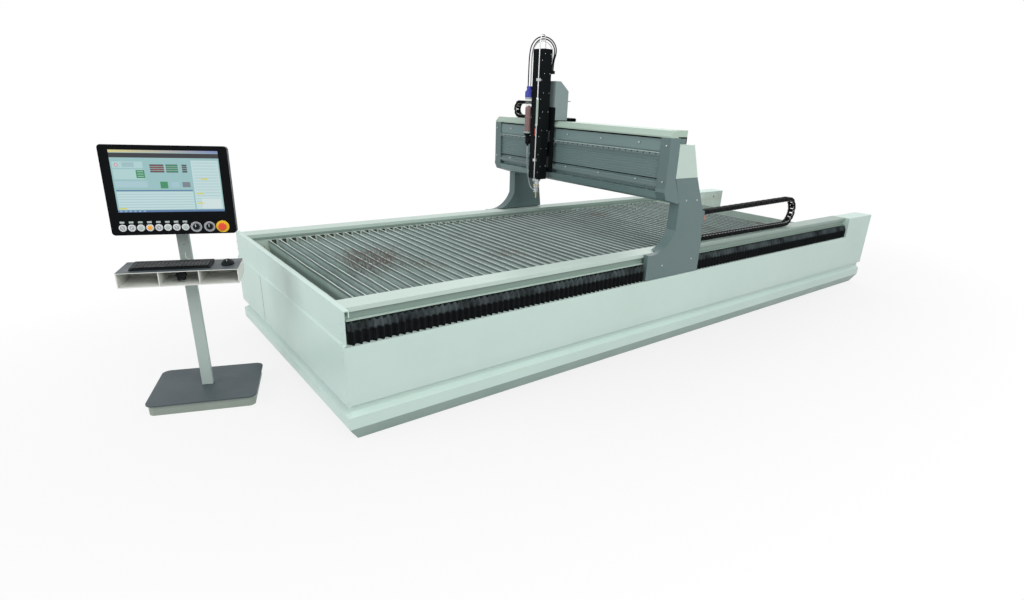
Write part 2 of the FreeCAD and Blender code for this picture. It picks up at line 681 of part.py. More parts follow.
def slat_comb():
    """Near comb that the slats drop into, one notch for each slat."""
    places = slat_places()
    seat = SLAT_TOP - SLAT_HEIGHT
    low = seat - COMB_FOOT
    comb = box(places[0] - SLAT_PITCH / 2.0, places[-1] + SLAT_END_CLEAR / 2.0,
               -INNER_FACE, -INNER_FACE + COMB_THICKNESS, low, low + COMB_HEIGHT)
    half_notch = SLAT_THICKNESS / 2.0 + NOTCH_CLEAR
    notches = [box(x - half_notch, x + half_notch, -HALF_WIDTH, 0, seat, RIM_HEIGHT)
               for x in places]
    return comb.cut(Part.makeCompound(notches))


def rail_beam():
    """Near hollow beam inside the casing, on the casing's inner wall."""
    low = -WALL_OUTER - SEAT_GAP - RAIL_BEAM_WIDTH
    outline = [(low, RAIL_BEAM_BOTTOM), (low + RAIL_BEAM_WIDTH, RAIL_BEAM_BOTTOM),
               (low + RAIL_BEAM_WIDTH, RAIL_BEAM_TOP), (low, RAIL_BEAM_TOP)]
    x0 = -HALF_LENGTH + END_RETURN + SHEET
    solid = prism_x(outline, x0, SLOT_END_X)
    hollow = prism_x(inward(outline, RAIL_BEAM_WALL), x0 - 1, SLOT_END_X + 1)
    return solid.cut(hollow)


def bed_guide_rail():
    """Near guide rail on the outer face of its beam."""
    half = RAIL_HEIGHT / 2.0
    return box(-HALF_LENGTH + END_RETURN + SHEET, SLOT_END_X, -RAIL_TIP, -RAIL_FACE,
               RAIL_LEVEL - half, RAIL_LEVEL + half)


def bellows(x0, x1):
    """Near pleated bellows between two X places, its upper face sloped."""
    count = max(2, int(round((x1 - x0) / BELLOWS_PLEAT)))
    pitch = (x1 - x0) / count
    peak = -HALF_WIDTH + BELLOWS_PEAK_INSET
    valley = -HALF_WIDTH + BELLOWS_VALLEY_INSET
    back = -HALF_WIDTH + BELLOWS_BACK_INSET
    outline = [(x0, back)]
    for i in range(count):
        outline.append((x0 + i * pitch, valley))
        outline.append((x0 + (i + 0.5) * pitch, peak))
    outline.append((x1, valley))
    outline.append((x1, back))
    low = SLOT_BOTTOM + SEAT_GAP
    high = SLOT_TOP - COVER_SHEET - SEAT_GAP
    body = prism_z(outline, low, high)
    slope = [(peak - 1, BELLOWS_SLOPE_Z), (back, high), (back, high + 50), (peak - 1, high + 50)]
    return body.cut(prism_x(slope, x0 - 1, x1 + 1))


def leg():
    """Near leg plate with its curved throat; it is thicker above the bed's rim."""
    outer = [V(LEG_LEFT_X, 0, LEG_BOTTOM_Z), V(LEG_RIGHT_X, 0, LEG_BOTTOM_Z),
             V(LEG_RIGHT_X, 0, LEG_SHOULDER_Z), V(LEG_BEND_X, 0, LEG_BEND_Z),
             V(LEG_TOP_RIGHT_X, 0, LEG_TOP_Z), V(LEG_TOP_LEFT_X, 0, LEG_TOP_Z),
             V(LEG_THROAT_X, 0, LEG_THROAT_TOP_Z), V(LEG_THROAT_X, 0, LEG_THROAT_LOW_Z)]
    edges = [Part.LineSegment(a, b).toShape() for a, b in zip(outer, outer[1:])]
    throat_end = V(LEG_LEFT_X, 0, LEG_FOOT_TOP_Z)
    span_x = LEG_THROAT_X - LEG_LEFT_X
    span_z = LEG_THROAT_LOW_Z - LEG_FOOT_TOP_Z
    middle = V(LEG_LEFT_X + LEG_THROAT_SHARE_X * span_x, 0, LEG_FOOT_TOP_Z + LEG_THROAT_SHARE_Z * span_z)
    edges.append(Part.Arc(outer[-1], middle, throat_end).toShape())
    edges.append(Part.LineSegment(throat_end, outer[0]).toShape())
    face = Part.Face(Part.Wire(edges))
    plate = face.extrude(V(0, LEG_PLATE, 0))
    plate.translate(V(0, -LEG_OUTER, 0))
    thick = face.extrude(V(0, LEG_THICKNESS, 0))
    thick.translate(V(0, -LEG_OUTER, 0))
    above = box(LEG_LEFT_X - 1, LEG_RIGHT_X + 1, -HALF_WIDTH, 0,
                RIM_HEIGHT + LEG_RIM_CLEAR, LEG_TOP_Z + 1)
    return plate.fuse(thick.common(above)).removeSplitter()


def leg_cover():
    """Near leg's top cover, its outline tapering upwards."""
    outline = [(LEG_TOP_LEFT_X, LEG_TOP_Z), (LEG_TOP_RIGHT_X, LEG_TOP_Z),
               (LEG_COVER_TOP_RIGHT_X, LEG_COVER_TOP_Z), (LEG_TOP_LEFT_X, LEG_COVER_TOP_Z)]
    return prism_y(outline, -LEG_OUTER, -LEG_INNER)


def beam():
    """Hollow cross beam between the legs: stepped front face and a chin that slopes back."""
    panel_x = BEAM_FRONT_X + BEAM_PANEL_DEPTH
    groove_x = BEAM_FRONT_X + BEAM_GROOVE_DEPTH
    gap_x = BEAM_FRONT_X + BEAM_GAP_DEPTH
    outline = [(BEAM_FRONT_X, BEAM_TOP_Z), (BEAM_FRONT_X, BEAM_UPPER_BAND_Z),
               (BEAM_SEAT_X, BEAM_UPPER_BAND_Z), (BEAM_SEAT_X, BEAM_PANEL_TOP_Z),
               (panel_x, BEAM_PANEL_TOP_Z), (panel_x, BEAM_PANEL_LOW_Z),
               (groove_x, BEAM_PANEL_LOW_Z), (groove_x, BEAM_GROOVE_Z),
               (BEAM_SEAT_X, BEAM_GROOVE_Z), (BEAM_SEAT_X, BEAM_FACE_LOW_Z),
               (gap_x, BEAM_FACE_LOW_Z), (gap_x, BEAM_GAP_LOW_Z), (BEAM_NOSE_X, BEAM_NOSE_Z),
               (BEAM_CHIN_X, BEAM_CHIN_Z), (BEAM_KEEL_X, BEAM_KEEL_Z),
               (BEAM_REAR_X, BEAM_KEEL_Z), (BEAM_REAR_X, BEAM_TOP_Z)]
    room = [(gap_x, BEAM_TOP_Z), (gap_x, BEAM_CHIN_Z), (BEAM_KEEL_X, BEAM_KEEL_Z),
            (BEAM_REAR_X, BEAM_KEEL_Z), (BEAM_REAR_X, BEAM_TOP_Z)]
    solid = prism_y(outline, -LEG_INNER, LEG_INNER)
    hollow = prism_y(inward(room, BEAM_WALL), -LEG_INNER, LEG_INNER)
    return solid.cut(hollow)


def beam_end():
    """Near end block of the beam, in front of the leg and flush with it."""
    outline = [(BEAM_END_FRONT_X, BEAM_TOP_Z), (BEAM_END_REAR_X, BEAM_TOP_Z),
               (BEAM_END_REAR_X, LEG_TOP_Z), (LEG_THROAT_X - SEAT_GAP, LEG_THROAT_TOP_Z),
               (BEAM_KEEL_X, BEAM_KEEL_Z), (BEAM_CHIN_X, BEAM_CHIN_Z),
               (BEAM_NOSE_X, BEAM_NOSE_Z), (BEAM_END_FRONT_X, BEAM_FACE_LOW_Z)]
    return prism_y(outline, -LEG_OUTER, -LEG_INNER)


def beam_top_cover():
    """Folded cover along the top of the beam, closed by a plate at each end."""
    front = BEAM_END_FRONT_X
    line = [(front, BEAM_TOP_Z), (front, BEAM_TOP_Z + TOP_COVER_LIP),
            (front + TOP_COVER_SLOPE, TOP_COVER_Z), (BEAM_REAR_X, TOP_COVER_Z),
            (BEAM_REAR_X, BEAM_TOP_Z)]
    cover = prism_y(sheet(line[::-1], COVER_SHEET), -LEG_OUTER, LEG_OUTER)
    ends = [prism_y(line, y, y + COVER_SHEET) for y in (-LEG_OUTER, LEG_OUTER - COVER_SHEET)]
    return cover.fuse(ends).removeSplitter()


def beam_guide_rails():
    """Two guide rails along the beam's front."""
    half = RAIL_HEIGHT / 2.0
    rails = []
    for level in (UPPER_RAIL_Z, LOWER_RAIL_Z):
        rails.append(box(BEAM_RAIL_TIP_X, BEAM_SEAT_X, -LEG_INNER, LEG_INNER,
                         level - half, level + half))
    return Part.makeCompound(rails)


def leg_runners():
    """Runner blocks that grip the bed's guide rails, on arms from the leg plates."""
    runners = []
    spread = (LEG_RIGHT_X - LEG_LEFT_X - RUNNER_LENGTH) / 2.0 - RUNNER_END_INSET
    middle = (LEG_LEFT_X + LEG_RIGHT_X) / 2.0
    half_rail = RAIL_HEIGHT / 2.0 + RUN_CLEAR
    for x in (middle - spread, middle + spread):
        x0, x1 = x - RUNNER_LENGTH / 2.0, x + RUNNER_LENGTH / 2.0
        block = box(x0, x1, -LEG_PLATE_INNER, -RAIL_TIP + RUNNER_OVERLAP,
                    RAIL_LEVEL - RUNNER_HEIGHT / 2.0, RAIL_LEVEL + RUNNER_HEIGHT / 2.0)
        groove = box(x0 - 1, x1 + 1, -RAIL_TIP - RUN_CLEAR, 0,
                     RAIL_LEVEL - half_rail, RAIL_LEVEL + half_rail)
        block = block.cut(groove)
        runners.append(block)
        runners.append(far_copy(block))
    return Part.makeCompound(runners)


def x_chain_points(radius):
    """Start, bend and end of one edge of the bed's chain, at a distance from the bend's centre."""
    slope = math.radians(X_CHAIN_SLOPE)
    outer_radius = X_CHAIN_RADIUS + X_CHAIN_HEIGHT / 2.0
    centre = V(X_CHAIN_CENTRE_X, 0, RIM_HEIGHT + X_CHAIN_CLEAR + outer_radius)
    bottom = centre + V(0, 0, -radius)
    side = centre + V(radius, 0, 0)
    top = centre + V(-radius * math.sin(slope), 0, radius * math.cos(slope))
    tail = V(X_CHAIN_START_X, 0, top.z - (top.x - X_CHAIN_START_X) * math.tan(slope))
    return V(X_CHAIN_START_X, 0, bottom.z), bottom, side, top, tail


def x_chain():
    """Near energy chain: lower run, bend and a sloping upper run back to the gantry."""
    outer = x_chain_points(X_CHAIN_RADIUS + X_CHAIN_HEIGHT / 2.0)
    inner = x_chain_points(X_CHAIN_RADIUS - X_CHAIN_HEIGHT / 2.0)
    edges = [Part.LineSegment(outer[0], outer[1]).toShape(),
             Part.Arc(outer[1], outer[2], outer[3]).toShape(),
             Part.LineSegment(outer[3], outer[4]).toShape(),
             Part.LineSegment(outer[4], inner[4]).toShape(),
             Part.LineSegment(inner[4], inner[3]).toShape(),
             Part.Arc(inner[3], inner[2], inner[1]).toShape(),
             Part.LineSegment(inner[1], inner[0]).toShape(),
             Part.LineSegment(inner[0], outer[0]).toShape()]
    chain = Part.Face(Part.Wire(edges)).extrude(V(0, X_CHAIN_WIDTH, 0))
    chain.translate(V(0, -LEG_INNER + BRACKET_SHEET + X_CHAIN_SIDE_GAP, 0))
    return chain


def x_chain_bracket():
    """Angle bracket that joins the chain's upper end to the near leg."""
    end_z = x_chain_points(X_CHAIN_RADIUS + X_CHAIN_HEIGHT / 2.0)[-1].z
    front = X_CHAIN_START_X - SEAT_GAP
    y0 = -LEG_INNER
    wall = box(LEG_BEND_X - BRACKET_GRIP, front, y0, y0 + BRACKET_SHEET, end_z - BRACKET_HEIGHT, end_z)
    shelf = box(front - BRACKET_SHEET, front, y0,
                y0 + BRACKET_SHEET + X_CHAIN_SIDE_GAP + X_CHAIN_WIDTH,
                end_z - BRACKET_HEIGHT, end_z)
    return wall.fuse(shelf).removeSplitter()


def y_chain():
    """Energy chain on top of the beam, its bend towards the far side."""
    low = TOP_COVER_Z
    outer_radius = Y_CHAIN_RADIUS + Y_CHAIN_HEIGHT / 2.0
    inner_radius = Y_CHAIN_RADIUS - Y_CHAIN_HEIGHT / 2.0
    centre_z = low + outer_radius
    start = Y_CHAIN_START_Y
    end = CARRIAGE_Y + CHAIN_END_OFFSET
    edges = []
    for radius in (outer_radius, inner_radius):
        bottom = V(0, Y_CHAIN_END_Y, centre_z - radius)
        side = V(0, Y_CHAIN_END_Y + radius, centre_z)
        top = V(0, Y_CHAIN_END_Y, centre_z + radius)
        edges.append(Part.Arc(bottom, side, top).toShape())
        edges.append(Part.LineSegment(V(0, start, bottom.z), bottom).toShape())
        edges.append(Part.LineSegment(top, V(0, end, top.z)).toShape())
    edges.append(Part.LineSegment(V(0, start, centre_z - outer_radius),
                                  V(0, start, centre_z - inner_radius)).toShape())
    edges.append(Part.LineSegment(V(0, end, centre_z + outer_radius),
                                  V(0, end, centre_z + inner_radius)).toShape())
    wire = Part.Wire(Part.__sortEdges__(edges))
    chain = Part.Face(wire).extrude(V(Y_CHAIN_WIDTH, 0, 0))
    chain.translate(V(Y_CHAIN_NEAR_X, 0, 0))
    return chain


def carriage_plate():
    """Upright plate that rides on the beam."""
    half = CARRIAGE_WIDTH / 2.0
    return box(PLATE_FRONT_X, Y_RUNNER_FACE_X, CARRIAGE_Y - half, CARRIAGE_Y + half,
               PLATE_BOTTOM_Z, PLATE_TOP_Z)


def y_runner(y, level):
    """Runner block on one beam rail."""
    half = Y_RUNNER_LENGTH / 2.0
    half_height = Y_RUNNER_HEIGHT / 2.0
    reach = BEAM_RAIL_TIP_X + RAIL_SIZE / 2.0
    block = box(Y_RUNNER_FACE_X, reach, y - half, y + half, level - half_height, level + half_height)
    half_rail = RAIL_HEIGHT / 2.0 + RUN_CLEAR
    groove = box(BEAM_RAIL_TIP_X - RUN_CLEAR, reach + 1, y - half - 1, y + half + 1,
                 level - half_rail, level + half_rail)
    return block.cut(groove)


def z_runner(y, level):
    """Runner block on one column rail."""
    half = Z_RUNNER_WIDTH / 2.0
    half_length = Z_RUNNER_LENGTH / 2.0
    front = PLATE_FRONT_X - Z_RUNNER_DEPTH
    rail_tip = COLUMN_BACK_X + Z_RAIL_DEPTH
    half_rail = Z_RAIL_WIDTH / 2.0 + RUN_CLEAR
    block = box(front, PLATE_FRONT_X, y - half, y + half,
                level - half_length, level + half_length)
    groove = box(front - 1, rail_tip + RUN_CLEAR, y - half_rail, y + half_rail,
                 level - half_length - 1, level + half_length + 1)
    return block.cut(groove)


def carriage_runners():
    """Runner blocks of the carriage: four on the beam and four on the column."""
    blocks = []
    for side in (-1.0, 1.0):
        for level in (UPPER_RAIL_Z, LOWER_RAIL_Z):
            blocks.append(y_runner(CARRIAGE_Y + side * Y_RUNNER_SPREAD, level))
        for rise in Z_RUNNER_RISES:
            blocks.append(z_runner(CARRIAGE_Y + side * Z_RAIL_SPREAD, RIM_HEIGHT + rise))
    return Part.makeCompound(blocks)


def motor_housing():
    """Housing over the beam with a sloped rear top corner."""
    low = TOP_COVER_Z + HOUSING_BOTTOM_CLEAR
    outline = [(Y_RUNNER_FACE_X, low), (HOUSING_REAR_X, low),
               (HOUSING_REAR_X, HOUSING_TOP_Z - HOUSING_CHAMFER_Z),
               (HOUSING_REAR_X - HOUSING_CHAMFER_X, HOUSING_TOP_Z),
               (Y_RUNNER_FACE_X, HOUSING_TOP_Z)]
    half = HOUSING_WIDTH / 2.0
    return prism_y(outline, CARRIAGE_Y - half, CARRIAGE_Y + half)


def chain_arm():
    """Arm from the housing that carries the moving end of the beam's chain."""
    return box(HOUSING_REAR_X, Y_CHAIN_NEAR_X + Y_CHAIN_WIDTH, CARRIAGE_Y - ARM_HALF_WIDTH,
               CARRIAGE_Y + ARM_HALF_WIDTH, ARM_LOW_Z, ARM_LOW_Z + BRACKET_SHEET)


def z_column():
    """Lifting column with chamfered front edges."""
    half = COLUMN_WIDTH / 2.0
    front = COLUMN_FRONT_X
    c = COLUMN_CHAMFER
    y0, y1 = CARRIAGE_Y - half, CARRIAGE_Y + half
    outline = [(COLUMN_BACK_X, y0), (COLUMN_BACK_X, y1), (front + c, y1), (front, y1 - c),
               (front, y0 + c), (front + c, y0)]
    return prism_z(outline, COLUMN_BOTTOM_Z, COLUMN_TOP_Z)


def z_guide_rails():
    """Two guide rails on the column's back."""
    rails = []
    for side in (-1.0, 1.0):
        y = CARRIAGE_Y + side * Z_RAIL_SPREAD
        rails.append(box(COLUMN_BACK_X, COLUMN_BACK_X + Z_RAIL_DEPTH,
                         y - Z_RAIL_WIDTH / 2.0, y + Z_RAIL_WIDTH / 2.0,
                         COLUMN_BOTTOM_Z + Z_RAIL_LOW_INSET, COLUMN_TOP_Z - Z_RAIL_TOP_INSET))
    return Part.makeCompound(rails)


def turned(profile, x, y):
    """Solid of revolution about a vertical axis from (radius, z) points."""
    points = [V(r, 0, z) for r, z in profile]
    wire = Part.makePolygon(points + [points[0]])
    solid = Part.Face(wire).revolve(V(0, 0, 0), V(0, 0, 1), 360)
    solid.translate(V(x, y, 0))
    return solid


def pressure_port():
    """Mouth of the head's slanting high-pressure port, and the direction it points in."""
    x, y = pressure_tube_place()
    root = V(COLUMN_CENTRE_X, CARRIAGE_Y, (HEAD_BODY_TOP_Z + HEAD_BODY_LOW_Z) / 2.0)
    out = V(x, y, root.z + PRESSURE_PORT_RISE) - root
    out.normalize()
    return root, out


def cutting_head():
    """Head body below the column, stepped down to the mixing chamber, with two side ports."""
    step = (HEAD_BODY_RADIUS - MIXER_RADIUS) * 0.9
    profile = [(0, COLUMN_BOTTOM_Z), (HEAD_MOUNT_RADIUS, COLUMN_BOTTOM_Z),
               (HEAD_MOUNT_RADIUS, HEAD_BODY_TOP_Z), (HEAD_BODY_RADIUS, HEAD_BODY_TOP_Z),
               (HEAD_BODY_RADIUS, HEAD_BODY_LOW_Z), (MIXER_RADIUS, HEAD_BODY_LOW_Z - step),
               (MIXER_RADIUS, MIXER_LOW_Z), (0, MIXER_LOW_Z)]
    head = turned(profile, COLUMN_CENTRE_X, CARRIAGE_Y)
    port = rod(V(COLUMN_CENTRE_X, CARRIAGE_Y, HEAD_PORT_Z), V(0, 1, 0), HEAD_PORT_RADIUS,
               MIXER_RADIUS + HEAD_PORT_LENGTH)
    root, out = pressure_port()
    inlet = rod(root, out, PRESSURE_PORT_RADIUS, PRESSURE_PORT_REACH)
    return head.fuse(port).fuse(inlet).removeSplitter()


def nozzle():
    """Focusing tube."""
    return rod(V(COLUMN_CENTRE_X, CARRIAGE_Y, NOZZLE_TIP_Z), V(0, 0, 1), NOZZLE_RADIUS,
               MIXER_LOW_Z - NOZZLE_TIP_Z)


def hopper_axis():
    """X and Y of the hopper's upright axis, beside the column's far face."""
    return (COLUMN_FRONT_X + HOPPER_SET_BACK,
            CARRIAGE_Y + COLUMN_WIDTH / 2.0 + SEAT_GAP + HOPPER_CAP_RADIUS)


def hopper():
    """Clear cylinder, open at the top under its cap."""
    x, y = hopper_axis()
    r = HOPPER_RADIUS
    w = HOPPER_WALL
    profile = [(0, HOPPER_BOTTOM_Z), (r, HOPPER_BOTTOM_Z), (r, HOPPER_TOP_Z),
               (r - w, HOPPER_TOP_Z), (r - w, HOPPER_BOTTOM_Z + w), (0, HOPPER_BOTTOM_Z + w)]
    return turned(profile, x, y)


def hopper_cap():
    """Cap over the hopper with a narrower neck that takes the hoses."""
    x, y = hopper_axis()
    profile = [(0, HOPPER_TOP_Z), (HOPPER_CAP_RADIUS, HOPPER_TOP_Z),
               (HOPPER_CAP_RADIUS, HOPPER_SHOULDER_Z - HOPPER_CAP_SHOULDER),
               (HOPPER_NECK_RADIUS, HOPPER_SHOULDER_Z),
               (HOPPER_NECK_RADIUS, HOPPER_CAP_TOP_Z), (0, HOPPER_CAP_TOP_Z)]
    return turned(profile, x, y)


def hopper_valve():
    """Metering valve under the hopper, with its spout and the shelf that carries it."""
    x, y = hopper_axis()
    r = VALVE_RADIUS
    shoulder = HOPPER_BOTTOM_Z - VALVE_SHOULDER
    spout = VALVE_BOTTOM_Z + VALVE_SPOUT_LENGTH
    profile = [(0, HOPPER_BOTTOM_Z), (HOPPER_RADIUS, HOPPER_BOTTOM_Z), (HOPPER_RADIUS, shoulder),
               (r, shoulder - VALVE_TAPER), (r, spout + VALVE_TAPER), (VALVE_SPOUT_RADIUS, spout),
               (VALVE_SPOUT_RADIUS, VALVE_BOTTOM_Z), (0, VALVE_BOTTOM_Z)]
    valve = turned(profile, x, y)
    half = VALVE_SHELF_WIDTH / 2.0
    shelf_low = HOPPER_BOTTOM_Z - VALVE_SHELF_DROP
    shelf = box(x - half, x + half, CARRIAGE_Y + COLUMN_WIDTH / 2.0, y,
                shelf_low, shelf_low + VALVE_SHELF_WIDTH)
    return valve.fuse(shelf).removeSplitter()


def pressure_tube_place():
    """X and Y of the straight high-pressure tube in front of the column."""
    return (COLUMN_FRONT_X - PRESSURE_TUBE_STANDOFF, CARRIAGE_Y - PRESSURE_TUBE_OFFSET)


def high_pressure_tube():
    """Route of the steel tube: up from the column's top, down its front and in to the head."""
    x, y = pressure_tube_place()
    root_x = COLUMN_CENTRE_X
    low, high = COLUMN_TOP_Z + PRESSURE_LOOP_START, COLUMN_TOP_Z + PRESSURE_LOOP_RISE
    loop = [(root_x, y, COLUMN_TOP_Z), (root_x, y, low), (root_x - 0.25 * (root_x - x), y, high),
            (x + 0.25 * (root_x - x), y, high), (x, y, low)]
    root, out = pressure_port()
    mouth = root + out * PRESSURE_PORT_REACH
    elbow = mouth + out * PRESSURE_ELBOW
    return loop + [(x, y, mouth.z + PRESSURE_RUN_RISE), (elbow.x, elbow.y, elbow.z),
                   (mouth.x, mouth.y, mouth.z)]


def tube_sleeve():
    """Thicker sleeve round the steel tube's middle."""
    x, y = pressure_tube_place()
    low = V(x, y, RIM_HEIGHT + SLEEVE_LOW_RISE)
    outer = rod(low, V(0, 0, 1), SLEEVE_DIAMETER / 2.0, SLEEVE_LENGTH)
    bore = rod(low - V(0, 0, 1), V(0, 0, 1), PRESSURE_TUBE_DIAMETER / 2.0 + SEAT_GAP,
               SLEEVE_LENGTH + 2.0)
    return outer.cut(bore)


def tube_clamps():
    """Clamp blocks that hold the high-pressure tube on the column."""
    x, y = pressure_tube_place()
    r = PRESSURE_TUBE_DIAMETER / 2.0
    half, half_height = CLAMP_WIDTH / 2.0, CLAMP_HEIGHT / 2.0
    clamps = []
    for rise in CLAMP_RISES:
        level = RIM_HEIGHT + rise
        block = box(x - r - CLAMP_LIP, COLUMN_FRONT_X, y - half, y + half,
                    level - half_height, level + half_height)
        bore = rod(V(x, y, level - CLAMP_HEIGHT), V(0, 0, 1), r + SEAT_GAP, 2.0 * CLAMP_HEIGHT)
        clamps.append(block.cut(bore))
    return Part.makeCompound(clamps)


def on_console(shape):
    """Move a console piece from its own frame to its place beside the bed."""
    placed = shape.copy()
    placed.rotate(V(0, 0, 0), V(0, 0, 1), CONSOLE_YAW)
    placed.translate(V(CONSOLE_X, CONSOLE_Y, 0))
    return placed


def on_monitor(shape):
    """Move a monitor piece from the front face's frame, Y = 0 and facing -Y, to its place."""
    placed = shape.copy()
    placed.rotate(V(0, 0, 0), V(1, 0, 0), -MONITOR_TILT)
    placed.translate(V(0, -POLE_DEPTH / 2.0 - MONITOR_BRACKET - MONITOR_DEPTH, MONITOR_CENTRE_Z))
    return on_console(placed)


def rounded_slab(width, depth, corner, z0, z1):
    """Plate with rounded upright edges, centred on the console's axis."""
    slab = box(-width / 2.0, width / 2.0, -depth / 2.0, depth / 2.0, z0, z1)
    upright = [e for e in slab.Edges if abs(e.Length - (z1 - z0)) < 1e-6
               and abs(e.Vertexes[0].X - e.Vertexes[1].X) < 1e-6
               and abs(e.Vertexes[0].Y - e.Vertexes[1].Y) < 1e-6]
    return slab.makeFillet(corner, upright)


def console_base():
    """Open-bottomed skirt of the console's foot."""
    outer = rounded_slab(BASE_WIDTH, BASE_DEPTH, BASE_CORNER, 0, BASE_SKIRT_HEIGHT)
    inner = rounded_slab(BASE_WIDTH - 2 * BASE_SHEET, BASE_DEPTH - 2 * BASE_SHEET,
                         BASE_CORNER - BASE_SHEET, -1, BASE_SKIRT_HEIGHT - BASE_SHEET)
    return on_console(outer.cut(inner))


def console_base_plate():
    """Dark plate on the foot."""
    grow = 2.0 * BASE_PLATE_OVERHANG
    plate = rounded_slab(BASE_WIDTH + grow, BASE_DEPTH + grow, BASE_CORNER + BASE_PLATE_OVERHANG,
                         BASE_SKIRT_HEIGHT, BASE_SKIRT_HEIGHT + BASE_PLATE_SHEET)
    return on_console(plate)


def console_pole():
    """Rectangular tube from the foot to the monitor's bracket."""
    low = BASE_SKIRT_HEIGHT + BASE_PLATE_SHEET
    half_w, half_d = POLE_WIDTH / 2.0, POLE_DEPTH / 2.0
    top = MONITOR_CENTRE_Z + POLE_ABOVE_MONITOR_CENTRE
    outer = box(-half_w, half_w, -half_d, half_d, low, top)
    inner = box(-half_w + POLE_WALL, half_w - POLE_WALL, -half_d + POLE_WALL, half_d - POLE_WALL,
                low + POLE_WALL, top - POLE_WALL)
    return on_console(outer.cut(inner))


def keyboard_tray():
    """Tray with open bays along its front."""
    back = -POLE_DEPTH / 2.0
    front = back - TRAY_DEPTH
    half = TRAY_WIDTH / 2.0
    top = TRAY_BOTTOM_Z + TRAY_HEIGHT
    tray = box(-half, half, front, back, TRAY_BOTTOM_Z, top)
    bay = (TRAY_WIDTH - TRAY_SHEET * (TRAY_BAYS + 1)) / TRAY_BAYS
    for i in range(TRAY_BAYS):
        x0 = -half + TRAY_SHEET + i * (bay + TRAY_SHEET)
        tray = tray.cut(box(x0, x0 + bay, front - 1, back - TRAY_SHEET,
                            TRAY_BOTTOM_Z + TRAY_SHEET, top - TRAY_SHEET))
    return on_console(tray)


def keyboard():
    """Low wedge with its front edge rounded off."""
    top = TRAY_BOTTOM_Z + TRAY_HEIGHT
    back = -POLE_DEPTH / 2.0 - KEYBOARD_SET_BACK
    outline = [(back - KEYBOARD_DEPTH, top), (back, top), (back, top + KEYBOARD_HEIGHT),
               (back - KEYBOARD_DEPTH, top + KEYBOARD_HEIGHT * KEYBOARD_FRONT_RATIO)]
    half = KEYBOARD_WIDTH / 2.0
    return on_console(prism_x(outline, KEYBOARD_OFFSET - half, KEYBOARD_OFFSET + half))


def mouse_place():
    """Middle of the mouse on the tray, in the console's frame."""
    return V(MOUSE_OFFSET, -POLE_DEPTH / 2.0 - MOUSE_SET_BACK, TRAY_BOTTOM_Z + TRAY_HEIGHT)


def mouse():
    """Domed pointing device on the tray, cut flat where its cable leaves."""
    ball = Part.makeSphere(1.0)
    matrix = FreeCAD.Matrix()
    length = MOUSE_RADIUS * MOUSE_LENGTH_RATIO
    matrix.scale(MOUSE_RADIUS, length, MOUSE_HEIGHT)
    dome = ball.transformGeometry(matrix)
    flat = length - MOUSE_FLAT_INSET
    dome = dome.common(box(-length, length, -length, flat, 0, length))
    dome.translate(mouse_place())
    return on_console(dome)


def mouse_cable():
    """Cable from the mouse, behind the keyboard, to the pole's front."""
    place = mouse_place()
    lie = place.z + CABLE_DIAMETER / 2.0 + CABLE_LIFT
    flat = place.y + MOUSE_RADIUS * MOUSE_LENGTH_RATIO - MOUSE_FLAT_INSET
    pole = -POLE_DEPTH / 2.0
    gap = pole - flat
    half = POLE_WIDTH / 2.0
    route = [(place.x, flat, lie), (place.x, flat + 0.3 * gap, lie),
             (place.x - 0.1 * place.x, flat + 0.62 * gap, lie),
             (0.72 * place.x, flat + 0.72 * gap, lie), (0.5 * place.x, flat + 0.5 * gap, lie),
             (0.3 * place.x, flat + 0.42 * gap, lie),
             (0.3 * half, flat + 0.5 * gap, lie + 0.3 * CABLE_POLE_RISE),
             (0.1 * half, flat + 0.62 * gap, lie + CABLE_POLE_RISE),
             (0.1 * half, pole, lie + CABLE_POLE_RISE)]
    return on_console(routed_tube("mouse_cable", route, CABLE_DIAMETER))


def clamp_knob():
    """Five-lobed clamp knob in the middle bay, on a stem from the pole's front."""
    z = TRAY_BOTTOM_Z + TRAY_HEIGHT / 2.0
    wall = -POLE_DEPTH / 2.0 - TRAY_SHEET
    back = wall - CLAMP_STEM_LENGTH
    stem = rod(V(0, wall, z), V(0, -1, 0), CLAMP_STEM_RADIUS, CLAMP_STEM_LENGTH)
    knob = stem.fuse(rod(V(0, back, z), V(0, -1, 0), CLAMP_KNOB_RADIUS * 0.72, CLAMP_KNOB_LENGTH))
    for i in range(5):
        angle = math.radians(90.0 + 72.0 * i)
        reach = CLAMP_KNOB_RADIUS * 0.68
        lobe = rod(V(reach * math.cos(angle), back, z + reach * math.sin(angle)),
                   V(0, -1, 0), CLAMP_KNOB_RADIUS * 0.32, CLAMP_KNOB_LENGTH)
        knob = knob.fuse(lobe)
    return on_console(knob.removeSplitter())


def monitor_housing():
    """Rounded housing with a recess for the screen and one bore for the stop button's stem."""
    half_h = MONITOR_HEIGHT / 2.0
    slab = rounded_slab(MONITOR_WIDTH, MONITOR_HEIGHT, MONITOR_CORNER, -MONITOR_DEPTH, 0)
    slab.rotate(V(0, 0, 0), V(1, 0, 0), 90)
    screen_top = half_h - SCREEN_TOP_MARGIN
    recess = box(-SCREEN_WIDTH / 2.0, SCREEN_WIDTH / 2.0, -1, SCREEN_DEPTH,
                 screen_top - SCREEN_HEIGHT, screen_top)
    body = slab.cut(recess)
    stem = rod(V(ESTOP_PLACE, -1, BUTTON_ROW), V(0, 1, 0), ESTOP_STEM_RADIUS + CONTROL_GAP,
               ESTOP_STEM_DEPTH + 2.0 * ESTOP_STROKE)
    body = body.cut(stem)
    for place in KNOB_PLACES:
        body = body.cut(rod(V(place, -1, BUTTON_ROW), V(0, 1, 0), KNOB_SHAFT_RADIUS + CONTROL_GAP,
                            KNOB_SHAFT_DEPTH + 3.0 * CONTROL_GAP + 1))
    return on_monitor(body)


